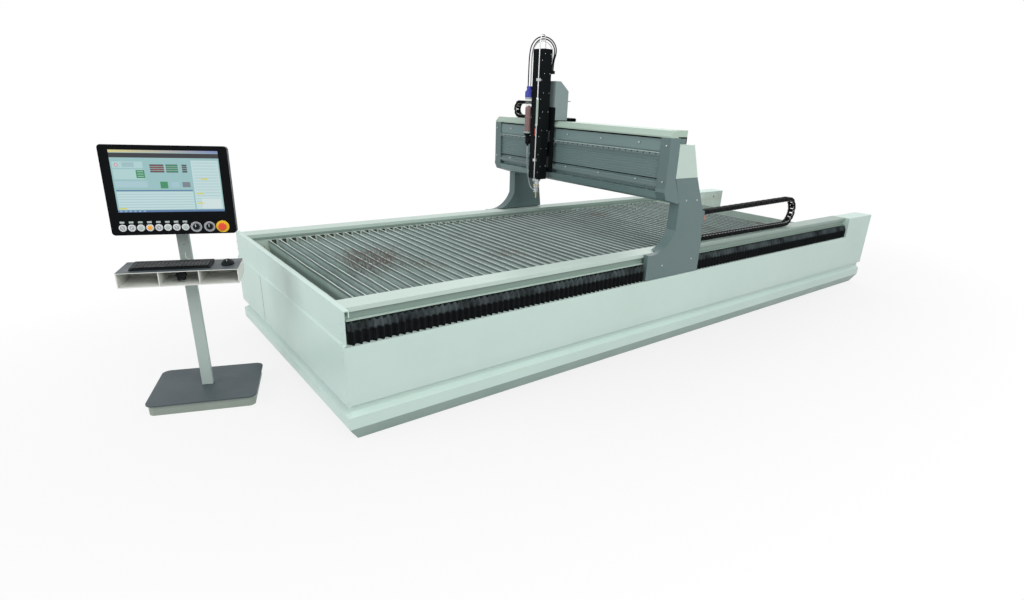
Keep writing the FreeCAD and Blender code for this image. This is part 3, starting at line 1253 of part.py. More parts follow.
def screen():
    """Display panel seated in the housing's recess."""
    top = MONITOR_HEIGHT / 2.0 - SCREEN_TOP_MARGIN - CONTROL_GAP
    half = SCREEN_WIDTH / 2.0 - CONTROL_GAP
    low = MONITOR_HEIGHT / 2.0 - SCREEN_TOP_MARGIN - SCREEN_HEIGHT + CONTROL_GAP
    return on_monitor(box(-half, half, 0.5, SCREEN_DEPTH, low, top))


def monitor_bracket():
    """Bracket between the pole and the tilted monitor."""
    lean = math.tan(math.radians(MONITOR_TILT))
    half_h = BRACKET_HALF_HEIGHT
    front = -POLE_DEPTH / 2.0 - MONITOR_BRACKET
    base = front + (MONITOR_DEPTH / math.cos(math.radians(MONITOR_TILT)) - MONITOR_DEPTH)
    outline = [(base + half_h * lean, MONITOR_CENTRE_Z + half_h),
               (base - half_h * lean, MONITOR_CENTRE_Z - half_h),
               (-POLE_DEPTH / 2.0, MONITOR_CENTRE_Z - half_h),
               (-POLE_DEPTH / 2.0, MONITOR_CENTRE_Z + half_h)]
    return on_console(prism_x(outline, -POLE_WIDTH, POLE_WIDTH))


def push_buttons():
    """Row of round push buttons."""
    buttons = []
    for i in range(BUTTON_COUNT):
        x = BUTTON_FIRST + i * BUTTON_PITCH
        buttons.append(on_monitor(rod(V(x, 0, BUTTON_ROW), V(0, -1, 0), BUTTON_RADIUS, BUTTON_PROUD)))
    return Part.makeCompound(buttons)


def override_knob(place):
    """Turning knob with a pointer bar, on a short shaft in the housing."""
    face = KNOB_LENGTH - KNOB_BAR_HEIGHT
    knob = rod(V(place, -CONTROL_GAP, BUTTON_ROW), V(0, -1, 0), KNOB_RADIUS, face)
    half = KNOB_BAR_WIDTH / 2.0
    bar = box(place - half, place + half, -KNOB_LENGTH, -face, BUTTON_ROW - 0.95 * KNOB_RADIUS,
              BUTTON_ROW + 0.95 * KNOB_RADIUS)
    shaft = rod(V(place, KNOB_SHAFT_DEPTH, BUTTON_ROW), V(0, -1, 0), KNOB_SHAFT_RADIUS,
                KNOB_SHAFT_DEPTH + face)
    return on_monitor(knob.fuse(bar).fuse(shaft).removeSplitter())


def e_stop_ring():
    """Fixed ring round the stop button."""
    ring = rod(V(ESTOP_PLACE, 0, BUTTON_ROW), V(0, -1, 0), ESTOP_RING_RADIUS, ESTOP_RING_DEPTH)
    bore = rod(V(ESTOP_PLACE, 1, BUTTON_ROW), V(0, -1, 0), ESTOP_STEM_RADIUS + CONTROL_GAP,
               ESTOP_RING_DEPTH + 2.0)
    return on_monitor(ring.cut(bore))


def e_stop_button():
    """Mushroom head on its stem."""
    face = -ESTOP_RING_DEPTH - ESTOP_STROKE - ESTOP_HEAD_GAP
    stem = rod(V(ESTOP_PLACE, ESTOP_STEM_DEPTH, BUTTON_ROW), V(0, -1, 0), ESTOP_STEM_RADIUS,
               ESTOP_STEM_DEPTH - face)
    head = rod(V(ESTOP_PLACE, face, BUTTON_ROW), V(0, -1, 0), ESTOP_HEAD_RADIUS, ESTOP_HEAD_DEPTH)
    rim = [e for e in head.Edges if e.Curve.TypeId == "Part::GeomCircle"
           and e.CenterOfMass.y < face - ESTOP_HEAD_DEPTH / 2.0]
    head = head.makeFillet(ESTOP_HEAD_ROUND, rim)
    return on_monitor(stem.fuse(head).removeSplitter())


def hose_clamp_place(slot):
    """Where one tube ends in the clamp on the column's back."""
    return (COLUMN_BACK_X + HOSE_STANDOFF,
            CARRIAGE_Y + HOSE_CLAMP_OFFSET - slot * HOSE_CLAMP_SPACING,
            COLUMN_TOP_Z - HOSE_CLAMP_DROP + HOSE_CLAMP_HEIGHT)


def hose_route(number):
    """Route of one hose from a port on the hopper's cap, over the column, to the clamp."""
    x, y = hopper_axis()
    angle = math.radians(HOSE_PORT_ANGLES[number])
    x0 = x + HOSE_PORT_CIRCLE * math.cos(angle)
    y0 = y + HOSE_PORT_CIRCLE * math.sin(angle)
    x1, y1, z1 = hose_clamp_place(HOSE_SLOTS[number])
    rise = COLUMN_TOP_Z + LOOP_RISES[number] - HOPPER_CAP_TOP_Z
    shares = [(0.0, 0.0, 0.0), (0.0, 0.0, 0.3), (0.03, -0.02, 0.56), (0.12, -0.01, 0.8),
              (0.28, 0.2, 0.95), (0.46, 0.54, 1.0), (0.68, 0.9, 0.96), (0.93, 1.12, 0.84),
              (1.03, 1.16, 0.68), (1.0, 1.0, 0.5)]
    route = [(x0 + sx * (x1 - x0), y0 + sy * (y1 - y0), HOPPER_CAP_TOP_Z + sz * rise)
             for sx, sy, sz in shares]
    return route + [(x1, y1, z1)]


def head_hoses():
    """Two hoses side by side."""
    return Part.makeCompound([routed_tube("head_hose", hose_route(0), HOSE_DIAMETER),
                              routed_tube("head_hose", hose_route(1), HOSE_DIAMETER)])


def hose_clamp():
    """Clamp on the column's back that ends the hoses."""
    x, y, top = hose_clamp_place(1)
    half = HOSE_CLAMP_WIDTH / 2.0
    return box(COLUMN_BACK_X, COLUMN_BACK_X + HOSE_CLAMP_DEPTH, y - half, y + half,
               top - HOSE_CLAMP_HEIGHT, top)


def abrasive_tube():
    """Route of the clear tube from the valve's spout to the head's side port."""
    x, y = hopper_axis()
    port_y = CARRIAGE_Y + MIXER_RADIUS + HEAD_PORT_LENGTH
    drop = VALVE_BOTTOM_Z - HEAD_PORT_Z
    shares = [(0.0, 0.0, 1.0), (0.0, 0.0, 0.84), (0.3, -0.1, 0.66), (0.6, -0.14, 0.5),
              (0.9, -0.1, 0.32), (1.0, 0.1, 0.15), (1.0, 0.4, 0.04)]
    route = [(x + sx * (COLUMN_CENTRE_X - x), y + sy * (port_y - y), HEAD_PORT_Z + sz * drop)
             for sx, sy, sz in shares]
    return route + [(COLUMN_CENTRE_X, port_y + 2.0 * HEAD_PORT_RADIUS, HEAD_PORT_Z),
                    (COLUMN_CENTRE_X, port_y, HEAD_PORT_Z)]


def main():
    """Build every node."""
    os.makedirs("parts", exist_ok=True)
    save("plinth_sides", both_sides(plinth_side()))
    save("plinth_ends", plinth_ends())
    save("side_panels", both_sides(side_panel()))
    save("rail_covers", both_sides(rail_cover()))
    save("casing_end_caps", both_sides(end_cap()))
    save("left_end_panel", left_end_panel())
    save("tank_side_walls", both_sides(tank_side_wall()))
    save("tank_floor", tank_floor())
    save("tank_end_walls", tank_end_walls())
    save("slat_bank", slat_bank())
    save("slat_combs", both_sides(slat_comb()))
    save("rail_beams", both_sides(rail_beam()))
    save("bed_guide_rails", both_sides(bed_guide_rail()))
    slot_start = -HALF_LENGTH + END_RETURN
    save("left_bellows", both_sides(bellows(slot_start, LEG_LEFT_X - BELLOWS_END_GAP)))
    save("right_bellows", both_sides(bellows(LEG_RIGHT_X + BELLOWS_END_GAP,
                                             SLOT_END_X - BELLOWS_END_GAP)))
    save("legs", both_sides(leg()))
    save("leg_covers", both_sides(leg_cover()))
    save("leg_runners", leg_runners())
    save("beam", beam())
    save("beam_ends", both_sides(beam_end()))
    save("beam_top_cover", beam_top_cover())
    save("beam_guide_rails", beam_guide_rails())
    save("bed_energy_chain", x_chain())
    save("chain_bracket", x_chain_bracket())
    save("beam_energy_chain", y_chain())
    save("carriage_plate", carriage_plate())
    save("carriage_runners", carriage_runners())
    save("motor_housing", motor_housing())
    save("chain_arm", chain_arm())
    save("z_column", z_column())
    save("z_guide_rails", z_guide_rails())
    save("cutting_head", cutting_head())
    save("focusing_tube", nozzle())
    save("abrasive_hopper", hopper())
    save("hopper_cap", hopper_cap())
    save("hopper_valve", hopper_valve())
    save("tube_clamps", tube_clamps())
    save("high_pressure_tube",
         routed_tube("high_pressure_tube", high_pressure_tube(), PRESSURE_TUBE_DIAMETER))
    save("abrasive_tube", routed_tube("abrasive_tube", abrasive_tube(), ABRASIVE_TUBE_DIAMETER))
    save("head_hoses", head_hoses())
    save("feed_tube", routed_tube("feed_tube", hose_route(2), FEED_TUBE_DIAMETER))
    save("tube_sleeve", tube_sleeve())
    save("hose_clamp", hose_clamp())
    save("console_base", console_base())
    save("console_base_plate", console_base_plate())
    save("console_pole", console_pole())
    save("keyboard_tray", keyboard_tray())
    save("keyboard", keyboard())
    save("mouse", mouse())
    save("mouse_cable", mouse_cable())
    save("clamp_knob", clamp_knob())
    save("monitor_housing", monitor_housing())
    save("monitor_bracket", monitor_bracket())
    save("screen", screen())
    save("push_buttons", push_buttons())
    save("e_stop_ring", e_stop_ring())
    save("e_stop_button", e_stop_button())
    save("left_override_knob", override_knob(KNOB_PLACES[0]))
    save("right_override_knob", override_knob(KNOB_PLACES[1]))


main()
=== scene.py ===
import json
import math

import bpy
import numpy as np
from bpy.props import FloatProperty, FloatVectorProperty, IntProperty, PointerProperty
from mathutils import Matrix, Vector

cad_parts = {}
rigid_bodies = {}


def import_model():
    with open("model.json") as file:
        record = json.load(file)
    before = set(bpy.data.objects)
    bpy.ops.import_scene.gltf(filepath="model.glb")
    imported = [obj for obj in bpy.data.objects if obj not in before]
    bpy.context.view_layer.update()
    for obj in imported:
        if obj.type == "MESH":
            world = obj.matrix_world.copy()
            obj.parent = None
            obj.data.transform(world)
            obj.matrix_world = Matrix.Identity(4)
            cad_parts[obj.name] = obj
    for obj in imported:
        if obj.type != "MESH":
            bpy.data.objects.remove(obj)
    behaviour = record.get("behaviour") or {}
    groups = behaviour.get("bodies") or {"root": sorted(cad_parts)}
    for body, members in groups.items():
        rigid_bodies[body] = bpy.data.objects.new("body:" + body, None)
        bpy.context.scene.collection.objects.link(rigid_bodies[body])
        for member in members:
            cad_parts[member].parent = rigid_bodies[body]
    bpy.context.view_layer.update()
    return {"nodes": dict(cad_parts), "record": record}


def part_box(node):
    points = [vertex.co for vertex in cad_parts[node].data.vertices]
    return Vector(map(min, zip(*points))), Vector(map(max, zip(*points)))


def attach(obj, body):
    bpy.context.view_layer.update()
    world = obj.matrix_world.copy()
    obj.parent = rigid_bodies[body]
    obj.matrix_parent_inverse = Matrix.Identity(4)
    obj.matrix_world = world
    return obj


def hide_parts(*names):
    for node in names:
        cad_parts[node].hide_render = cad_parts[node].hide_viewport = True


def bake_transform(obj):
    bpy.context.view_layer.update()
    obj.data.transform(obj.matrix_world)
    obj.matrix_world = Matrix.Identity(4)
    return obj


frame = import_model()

# Looks of a gantry waterjet cutting machine and its console.
# Shapes are worked out in millimetres in the part's own frame, and put() turns them to metres.

bl_info = {
    "name": "Waterjet Machine Looks",
    "version": (1, 0, 0),
    "blender": (4, 5, 0),
    "location": "3D View > Sidebar > Waterjet",
    "description": "Builds the finishes and fine pieces of a gantry waterjet machine round its frame",
    "category": "Object",
}


def corners(node):
    """Lowest and highest corner of a CAD node, in millimetres."""
    return [np.array(corner) * 1000.0 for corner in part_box(node)]


# Places of the part, in millimetres, worked out from the frame
TANK_LOW, TANK_HIGH = corners("tank_end_walls")
TANK_FLOOR = TANK_LOW[2]
INNER_FACE = TANK_HIGH[1]
END_FACE = corners("left_end_panel")[0]
SLAT_LOW, SLAT_HIGH = corners("slat_bank")
LEG_LOW = corners("legs")[0]
COLUMN_LOW, COLUMN_HIGH = corners("z_column")
HOPPER_LOW, HOPPER_HIGH = corners("abrasive_hopper")
TUBE_LOW, TUBE_HIGH = corners("tube_sleeve")
TRAY_TOP = corners("keyboard_tray")[1][2]
KEY_TOP = corners("keyboard")[1][2]

# The console's turn and place, and its monitor's
CONSOLE_X, CONSOLE_Y, CONSOLE_YAW = -3590.0, 26.0, math.radians(-20.0)
MONITOR_SET_BACK, MONITOR_Z, MONITOR_TILT = -121.0, 1300.0, math.radians(-5.0)
BUTTON_ROW = -198.0

# Places on the machine that the frame's boxes don't give
PANEL_DEPTH, PANEL_SEAM_Z, RIBS_FROM, RIBS_TO = 14.0, 1348.0, 1356.0, 1494.0
GAP_DEPTH, GAP_RISE = 36.0, 68.5
BAND_SCREWS_Z = (1592.0, 1325.0)
END_SCREWS_Z, END_SCREWS_Y = (1330.0, 1585.0), 1040.0
LEG_SCREWS = ((-368.0, 1185.0), (-236.0, 1180.0), (-203.0, 709.0), (-563.0, 699.0))
PANEL_SCREWS_Z, PANEL_SCREWS_IN = (560.0, 612.0, 671.0, 725.0), 32.0
SEAM_Y, SEAM_TOP = 460.0, 600.0
GUARD_Z, GUARD_SIDE = 1562.0, 24.0
BOLTS_FROM, BOLTS_IN, SIDE_BOLTS_IN, SIDE_BOLTS_RISE = 60.0, 15.0, 14.0, 50.0
LEFT_PLATE, RIGHT_PLATE, WELD_STOP, END_JOINT_Y = 4.0, 6.5, 14.0, 360.0
KEEPER_SIZE, KEEPER_OUT, KEEPER_RISE = (15.0, 6.0, 46.0, 2.0), 5.0, 48.0
PLUG_SIZE, PLUG_AHEAD, PLUG_DROP = (34.0, 16.0, 50.0, 6.0), 38.0, 70.0
FOLD_DEPTH, FOLD_SINK, FOLD_SLOPE, FOLD_BACK = 21.0, 16.0, 44.0, 27.8
FIRST_BUTTON, DIALS_X, TILES_RISE = -250.0, (104.0, 171.0), 30.0
SCREEN_HALF, SCREEN_FOOT, SCREEN_TOP = 258.0, -114.0, 211.0
KEYS_LEFT, KEYS_FRONT, WHEEL_X, WHEEL_Y = -225.5, -202.0, 235.0, -160.0

# Where finishes change, in metres: a painted shade band's lowest and highest height,
# and the X beyond which its colour covers all
RAIL_STEP_SHADE = (0.728, 0.774, -0.1)
PLINTH_SLOPE_SHADE = (-0.1, 0.103, 9.0)
# Heights over which the bellows' upper slope takes dust and a painted highlight
FOLD_DUST_AND_HIGHLIGHT_LOW, FOLD_DUST_AND_HIGHLIGHT_HIGH = 0.668, 0.68
WATER_LOW, WATER_LINE, TIDE_TOP = 0.5, 0.66, 0.74

# Lamps and what they look at, in metres
KEY_PLACE, FILL_PLACE, SIDE_PLACE = (-2.5, -7.0, 6.5), (5.0, 4.0, 7.0), (-9.0, 0.5, 3.2)
LAMP_TARGET = (-0.5, 0.0, 0.6)

# Routes of the hoses and tubes, in millimetres
INNER_HOSE = ((-750.8, 413.1, 1960.0), (-750.8, 413.1, 2071.6), (-748.4, 416.5, 2168.3),
              (-740.9, 414.8, 2257.6), (-727.6, 378.7, 2313.4), (-712.7, 320.2, 2332.0),
              (-694.5, 258.2, 2317.1), (-673.8, 220.3, 2272.5), (-665.5, 213.5, 2213.0),
              (-668.0, 241.0, 2146.0), (-668.0, 241.0, 2085.0))
OUTER_HOSE = ((-774.7, 417.3, 1960.0), (-774.7, 417.3, 2076.4), (-771.5, 421.1, 2177.3),
              (-761.9, 419.2, 2270.4), (-744.8, 378.8, 2328.6), (-725.6, 313.5, 2348.0),
              (-702.2, 244.2, 2332.5), (-675.5, 201.9, 2285.9), (-664.8, 194.2, 2223.8),
              (-668.0, 225.0, 2154.0), (-668.0, 225.0, 2085.0))
FEED_TUBE = ((-766.4, 394.5, 1960.0), (-766.4, 394.5, 2066.8), (-763.5, 397.3, 2159.4),
             (-754.6, 395.9, 2244.8), (-738.9, 367.0, 2298.2), (-721.2, 320.3, 2316.0),
             (-699.5, 270.8, 2301.8), (-674.9, 240.5, 2259.0), (-665.0, 235.0, 2202.1),
             (-668.0, 257.0, 2138.0), (-668.0, 257.0, 2085.0))
ABRASIVE_TUBE = ((-764.0, 408.3, 1470.0), (-764.0, 408.3, 1410.5), (-755.0, 415.9, 1343.5),
                 (-746.0, 419.0, 1284.0), (-737.0, 415.9, 1217.0), (-734.0, 400.7, 1153.8),
                 (-734.0, 377.8, 1112.9), (-734.0, 346.0, 1098.0), (-734.0, 332.0, 1098.0))
MOUSE_CABLE = ((235.0, -93.1, 884.2), (235.0, -70.3, 884.2), (211.5, -45.9, 884.2),
               (169.2, -38.3, 884.2), (117.5, -55.0, 884.2), (70.5, -61.1, 884.2),
               (9.3, -55.0, 897.8), (3.1, -45.9, 929.2), (3.1, -17.0, 929.2))


# Shapes: each is an array of points and a list of faces

def stack(rings):
    """Rings of points, each joined to the next by a band of quads, the first and last one closed flat."""
    rings = np.asarray(rings, float)
    count, around = rings.shape[:2]
    index = np.arange(count * around).reshape(count, around)
    turn = np.roll(index, -1, axis=1)
    bands = np.stack([index[:-1], turn[:-1], turn[1:], index[1:]], axis=-1).reshape(-1, 4)
    faces = bands.tolist() + [index[0][::-1].tolist(), index[-1].tolist()]
    return rings.reshape(-1, 3), faces


def turned(profile, segments=24):
    """Profile of (radius, height) carried round the upright axis: x = r cos t, y = r sin t, z = h."""
    profile = np.asarray(profile, float)
    angle = np.arange(segments) * 2.0 * math.pi / segments
    ring = np.stack([np.cos(angle), np.sin(angle)], axis=-1)
    rings = np.zeros((len(profile), segments, 3))
    rings[:, :, :2] = profile[:, None, :1] * ring[None]
    rings[:, :, 2] = profile[:, 1:]
    return stack(rings)


def block(x, y, z, chamfer):
    """Block of half sizes x, y, from height 0 to z, all its edges cut by the chamfer."""
    inset = np.array([chamfer, 0.0, 0.0, chamfer])
    level = np.array([0.0, min(chamfer, z / 2.0), z - min(chamfer, z / 2.0), z])
    rings = []
    for cut, height in zip(inset, level):
        a, b = x - cut, y - cut
        c = max(chamfer - 0.4 * cut, 0.0)
        rings.append([(a, -b + c, height), (a, b - c, height), (a - c, b, height), (-a + c, b, height),
                      (-a, b - c, height), (-a, -b + c, height), (-a + c, -b, height),
                      (a - c, -b, height)])
    return stack(rings)


def run(section, start, end, across, up):
    """Flat section of (across, up) points carried in a straight line from start to end."""
    section = np.asarray(section, float)
    flat = section[:, :1] * np.asarray(across, float) + section[:, 1:] * np.asarray(up, float)
    return stack([flat + np.asarray(start, float), flat + np.asarray(end, float)])


def along(path, radius, segments=12, ripple=0.0, pitch=1.0):
    """Round tube about a path; its radius swells by ripple times the sine of the length over pitch."""
    path = np.asarray(path, float)
    step = np.gradient(path, axis=0)
    step /= np.linalg.norm(step, axis=1)[:, None]
    side = np.cross(step, (0.31, 0.17, 0.93))
    side /= np.linalg.norm(side, axis=1)[:, None]
    top = np.cross(side, step)
    length = np.r_[0.0, np.cumsum(np.linalg.norm(np.diff(path, axis=0), axis=1))]
    size = radius + ripple * np.sin(2.0 * math.pi * length / pitch)
    angle = np.arange(segments) * 2.0 * math.pi / segments
    ring = (side[:, None] * np.cos(angle)[None, :, None] + top[:, None] * np.sin(angle)[None, :, None])
    return stack(path[:, None] + ring * size[:, None, None])


def joined(shapes):
    """Several shapes as one."""
    points, faces, start = [], [], 0
    for part, polygons in shapes:
        points.append(part)
        faces += [[c + start for c in face] for face in polygons]
        start += len(part)
    return np.concatenate(points), faces


def strewn(shape, places, turns=None):
    """Copies of a shape at many places, each turned by its own 3 by 3 matrix."""
    points, faces = shape
    places = np.asarray(places, float)
    count = len(places)
    turns = np.broadcast_to(np.eye(3) if turns is None else np.asarray(turns, float), (count, 3, 3))
    spread = np.einsum("kij,nj->kni", turns, points) + places[:, None]
    size = len(points)
    many = [[c + k * size for c in face] for k in range(count) for face in faces]
    return spread.reshape(-1, 3), many


def facing(normal, up=(0.0, 0.0, 1.0)):
    """Turn that sends +Z to the normal and +Y close to up."""
    z = np.asarray(normal, float) / np.linalg.norm(normal)
    x = np.cross(up, z)
    x /= np.linalg.norm(x)
    return np.stack([x, np.cross(z, x), z], axis=1)


def aimed(shape, normal):
    """Shape turned so that its +Z points along the normal."""
    points, faces = shape
    return points @ facing(normal).T, faces


def shifted(shape, step):
    """Shape moved by a step."""
    points, faces = shape
    return points + np.asarray(step, float), faces


def mirrored(shape):
    """A shape and its image on the far side."""
    points, faces = shape
    return joined([shape, (points * (1.0, -1.0, 1.0), [face[::-1] for face in faces])])


def screw(radius, height):
    """Socket-head screw seen from above: rounded rim and a sunk hexagon-like socket."""
    return turned([(radius, 0.0), (radius, 0.8 * height), (0.86 * radius, height), (0.5 * radius, height),
                   (0.46 * radius, 0.45 * height), (0.1 * radius, 0.4 * height)], 12)


def screws(radius, height, normal, places):
    """Screws at many places, all facing the same way."""
    return strewn(aimed(screw(radius, height), normal), places)


def far_too(points):
    """Places on the near side together with their mirror images on the far side."""
    points = np.asarray(points, float)
    return np.concatenate([points, points * (1.0, -1.0, 1.0)])


def on_console(points):
    """Console frame to the part's frame: a turn about the upright axis and a shift."""
    points = np.asarray(points, float)
    c, s = math.cos(CONSOLE_YAW), math.sin(CONSOLE_YAW)
    return np.stack([CONSOLE_X + c * points[..., 0] - s * points[..., 1],
                     CONSOLE_Y + s * points[..., 0] + c * points[..., 1], points[..., 2]], axis=-1)


def on_monitor(points):
    """Monitor frame, y = 0 at the front and -y towards the user, to the part's frame."""
    points = np.asarray(points, float)
    c, s = math.cos(MONITOR_TILT), math.sin(MONITOR_TILT)
    y = c * points[..., 1] - s * points[..., 2] + MONITOR_SET_BACK
    z = s * points[..., 1] + c * points[..., 2] + MONITOR_Z
    return on_console(np.stack([points[..., 0], y, z], axis=-1))


def put(name, shape, finish, body, smooth=True, stands_for=()):
    """Makes the mesh object of a shape, in metres, and lets it ride on its body."""
    points, faces = shape
    mesh = bpy.data.meshes.new(name)
    mesh.from_pydata((np.asarray(points) * 0.001).tolist(), [], faces)
    mesh.materials.append(bpy.data.materials[finish])
    piece = bpy.data.objects.new(name, mesh)
    bpy.context.scene.collection.objects.link(piece)
    if smooth:
        mesh.shade_smooth()
        mesh.set_sharp_from_angle(angle=math.radians(38.0))
    if body:
        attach(piece, body)
    if stands_for:
        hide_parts(*stands_for)
    return piece


def waver(count, seed, low=-1.0, high=1.0):
    """The same list of random numbers each run."""
    return np.random.default_rng(seed).uniform(low, high, count)


# Finishes

class Finish:
    """One procedural material and short ways to add nodes to it."""

    def __init__(self, name, colour, roughness, metallic=0.0):
        # The frame's plain material gives its name up
        plain = bpy.data.materials.get(name)
        if plain:
            plain.name = "plain_" + name
        self.material = bpy.data.materials.new(name)
        self.material.use_nodes = True
        self.tree = self.material.node_tree
        self.shader = self.tree.nodes["Principled BSDF"]
        self.place = self.tree.nodes.new("ShaderNodeTexCoord").outputs["Object"]
        self.shader.inputs["Metallic"].default_value = metallic
        self.shader.inputs["Roughness"].default_value = roughness
        self.colour = self.rgb(colour)
        self.normal = None
        self.shader.inputs["Base Color"].default_value = (*colour, 1.0)

    def add(self, kind, inputs, **settings):
        """New node with its settings made and its inputs fed."""
        node = self.tree.nodes.new("ShaderNode" + kind)
        for key, value in settings.items():
            setattr(node, key, value)
        return self.feed(node, inputs)

    def feed(self, node, inputs):
        """Sets or links a node's inputs by name or number."""
        for key, value in inputs.items():
            if isinstance(value, bpy.types.NodeSocket):
                self.tree.links.new(value, node.inputs[key])
            else:
                node.inputs[key].default_value = value
        return node

    def rgb(self, colour):
        """A fixed colour as an output."""
        node = self.add("RGB", {})
        node.outputs[0].default_value = (*colour, 1.0)
        return node.outputs[0]

    def stretch(self, scale):
        """Object place stretched along the axes."""
        return self.add("Mapping", {"Vector": self.place, "Scale": scale}).outputs[0]

    def noise(self, scale, detail=3.0, stretch=None, roughness=0.55):
        """Cloudy noise from 0 to 1."""
        place = self.stretch(stretch) if stretch else self.place
        return self.add("TexNoise", {"Vector": place, "Scale": scale, "Detail": detail,
                                     "Roughness": roughness}).outputs[0]

    def cells(self, scale):
        """Distance to the nearest of many scattered points."""
        return self.add("TexVoronoi", {"Vector": self.place, "Scale": scale}).outputs["Distance"]

    def waves(self, scale, direction, distortion=0.0):
        """Parallel bands across a direction."""
        return self.add("TexWave", {"Vector": self.place, "Scale": scale, "Distortion": distortion},
                        bands_direction=direction).outputs["Fac"]

    def ramp(self, value, low, high, to_low=0.0, to_high=1.0):
        """Value from low..high taken to to_low..to_high and held there."""
        return self.add("MapRange", {"Value": value, "From Min": low, "From Max": high,
                                     "To Min": to_low, "To Max": to_high}).outputs[0]

    def math(self, operation, a, b=0.0):
        """One sum on two values."""
        return self.add("Math", {0: a, 1: b}, operation=operation).outputs[0]

    def times(self, a, b):
        """Product of two values."""
        return self.math("MULTIPLY", a, b)

    def level(self, low, high, to_low=0.0, to_high=1.0, axis="Z"):
        """Ramp over the object place along one axis, in metres."""
        place = self.add("SeparateXYZ", {0: self.place}).outputs[axis]
        return self.ramp(place, low, high, to_low, to_high)

    def blend(self, factor, over):
        """Lays a colour over the present one by a factor."""
        node = self.add("Mix", {}, data_type="RGBA")
        self.feed(node, {0: factor, 6: self.colour, 7: self.rgb(over)})
        self.colour = node.outputs[2]

    def cloud(self, scale, detail, low, high, most, over):
        """Lays a colour over where a noise passes from low to high, by a factor up to the most."""
        self.blend(self.ramp(self.noise(scale, detail), low, high, 0.0, most), over)

    def edges(self, radius):
        """Softened normal, and how far it leaves the flat one: 1 on edges."""
        soft = self.add("Bevel", {"Radius": radius}, samples=4)
        shape = self.add("NewGeometry", {})
        dot = self.add("VectorMath", {}, operation="DOT_PRODUCT")
        self.feed(dot, {0: soft.outputs[0], 1: shape.outputs["Normal"]})
        self.normal = soft.outputs[0]
        return self.ramp(dot.outputs["Value"], 0.995, 0.85)

    def rough(self, value):
        """Links the roughness."""
        self.feed(self.shader, {"Roughness": value})

    def uneven(self, scale, detail, low, high):
        """Roughness that wanders from low to high."""
        self.rough(self.ramp(self.noise(scale, detail), 0.3, 0.7, low, high))

    def bump(self, value, distance):
        """Raises the surface by a value."""
        inputs = {"Height": value, "Distance": distance, "Strength": 1.0}
        if self.normal:
            inputs["Normal"] = self.normal
        self.normal = self.add("Bump", inputs).outputs[0]

    def shine(self, level):
        """Sets how strongly the surface mirrors."""
        self.feed(self.shader, {"Specular IOR Level": level})

    def done(self):
        """Links the gathered colour and normal to the shader."""
        self.feed(self.shader, {"Base Color": self.colour})
        if self.normal:
            self.feed(self.shader, {"Normal": self.normal})
        return self.material


def shade(colour, factor):
    """A colour made lighter or darker."""
    return tuple(min(1.0, c * factor) for c in colour)


def painted(name, colour, roughness, mottle=0.05, texture=0.00006, grime=0.0, edge_highlight=0.25, shine=0.5,
            band=None):
    """Sprayed metal: faint cloudy tone, orange-peel texture, dust low down and a painted highlight on the
    edges.

    A band of (low, high, from_x, colour) is painted shade between two heights,
    and the same colour lies over all beyond an X, in metres.
    """
    finish = Finish(name, colour, roughness)
    rim = finish.edges(0.0015)
    finish.cloud(1.7, 4.0, 0.3, 0.7, mottle * 4.0, shade(colour, 0.8))
    finish.cloud(9.0, 5.0, 0.45, 0.75, mottle * 2.0, shade(colour, 1.12))
    if grime:
        low = finish.level(0.32, 0.0)
        streaks = finish.noise(3.0, 6.0, (2.0, 2.0, 0.5))
        finish.blend(finish.times(finish.times(low, streaks), grime), (0.16, 0.15, 0.12))
    # Painted shade over a band of heights; beyond an X the same colour covers all
    if band:
        low, high, from_x, tone = band
        above = finish.level(low - 0.0005, low + 0.0005)
        below = finish.level(high + 0.0005, high - 0.0005)
        beyond = finish.level(from_x - 0.2, from_x, 0.0, 0.85, "X")
        finish.blend(finish.math("MAXIMUM", finish.times(above, below), beyond), tone)
    specks = finish.ramp(finish.noise(160.0, 2.0), 0.7, 0.78, 0.0, 0.35)
    finish.blend(specks, shade(colour, 0.7))
    # Paler edges: a painted highlight
    finish.blend(finish.times(rim, edge_highlight), shade(colour, 1.35))
    finish.rough(finish.ramp(finish.noise(5.0, 4.0), 0.25, 0.75, roughness - 0.07, roughness + 0.09))
    finish.bump(finish.noise(420.0, 2.0), texture)
    finish.shine(shine)
    return finish.done()


def desk_top(name, colour, level):
    """Sprayed tray whose level top, from a height up, carries a dark textured mat."""
    finish = Finish(name, colour, 0.42)
    rim = finish.edges(0.0012)
    finish.cloud(3.0, 4.0, 0.3, 0.7, 0.2, shade(colour, 0.85))
    # Paler edges: a painted highlight
    finish.blend(finish.times(rim, 0.2), shade(colour, 1.2))
    mat = finish.level(level - 0.0012, level - 0.0008)
    finish.blend(mat, (0.045, 0.062, 0.07))
    finish.blend(finish.times(mat, finish.ramp(finish.noise(14.0, 5.0), 0.45, 0.75, 0.0, 0.4)),
                 (0.1, 0.12, 0.13))
    finish.uneven(8.0, 4.0, 0.36, 0.6)
    finish.bump(finish.noise(300.0, 2.0), 0.0001)
    return finish.done()


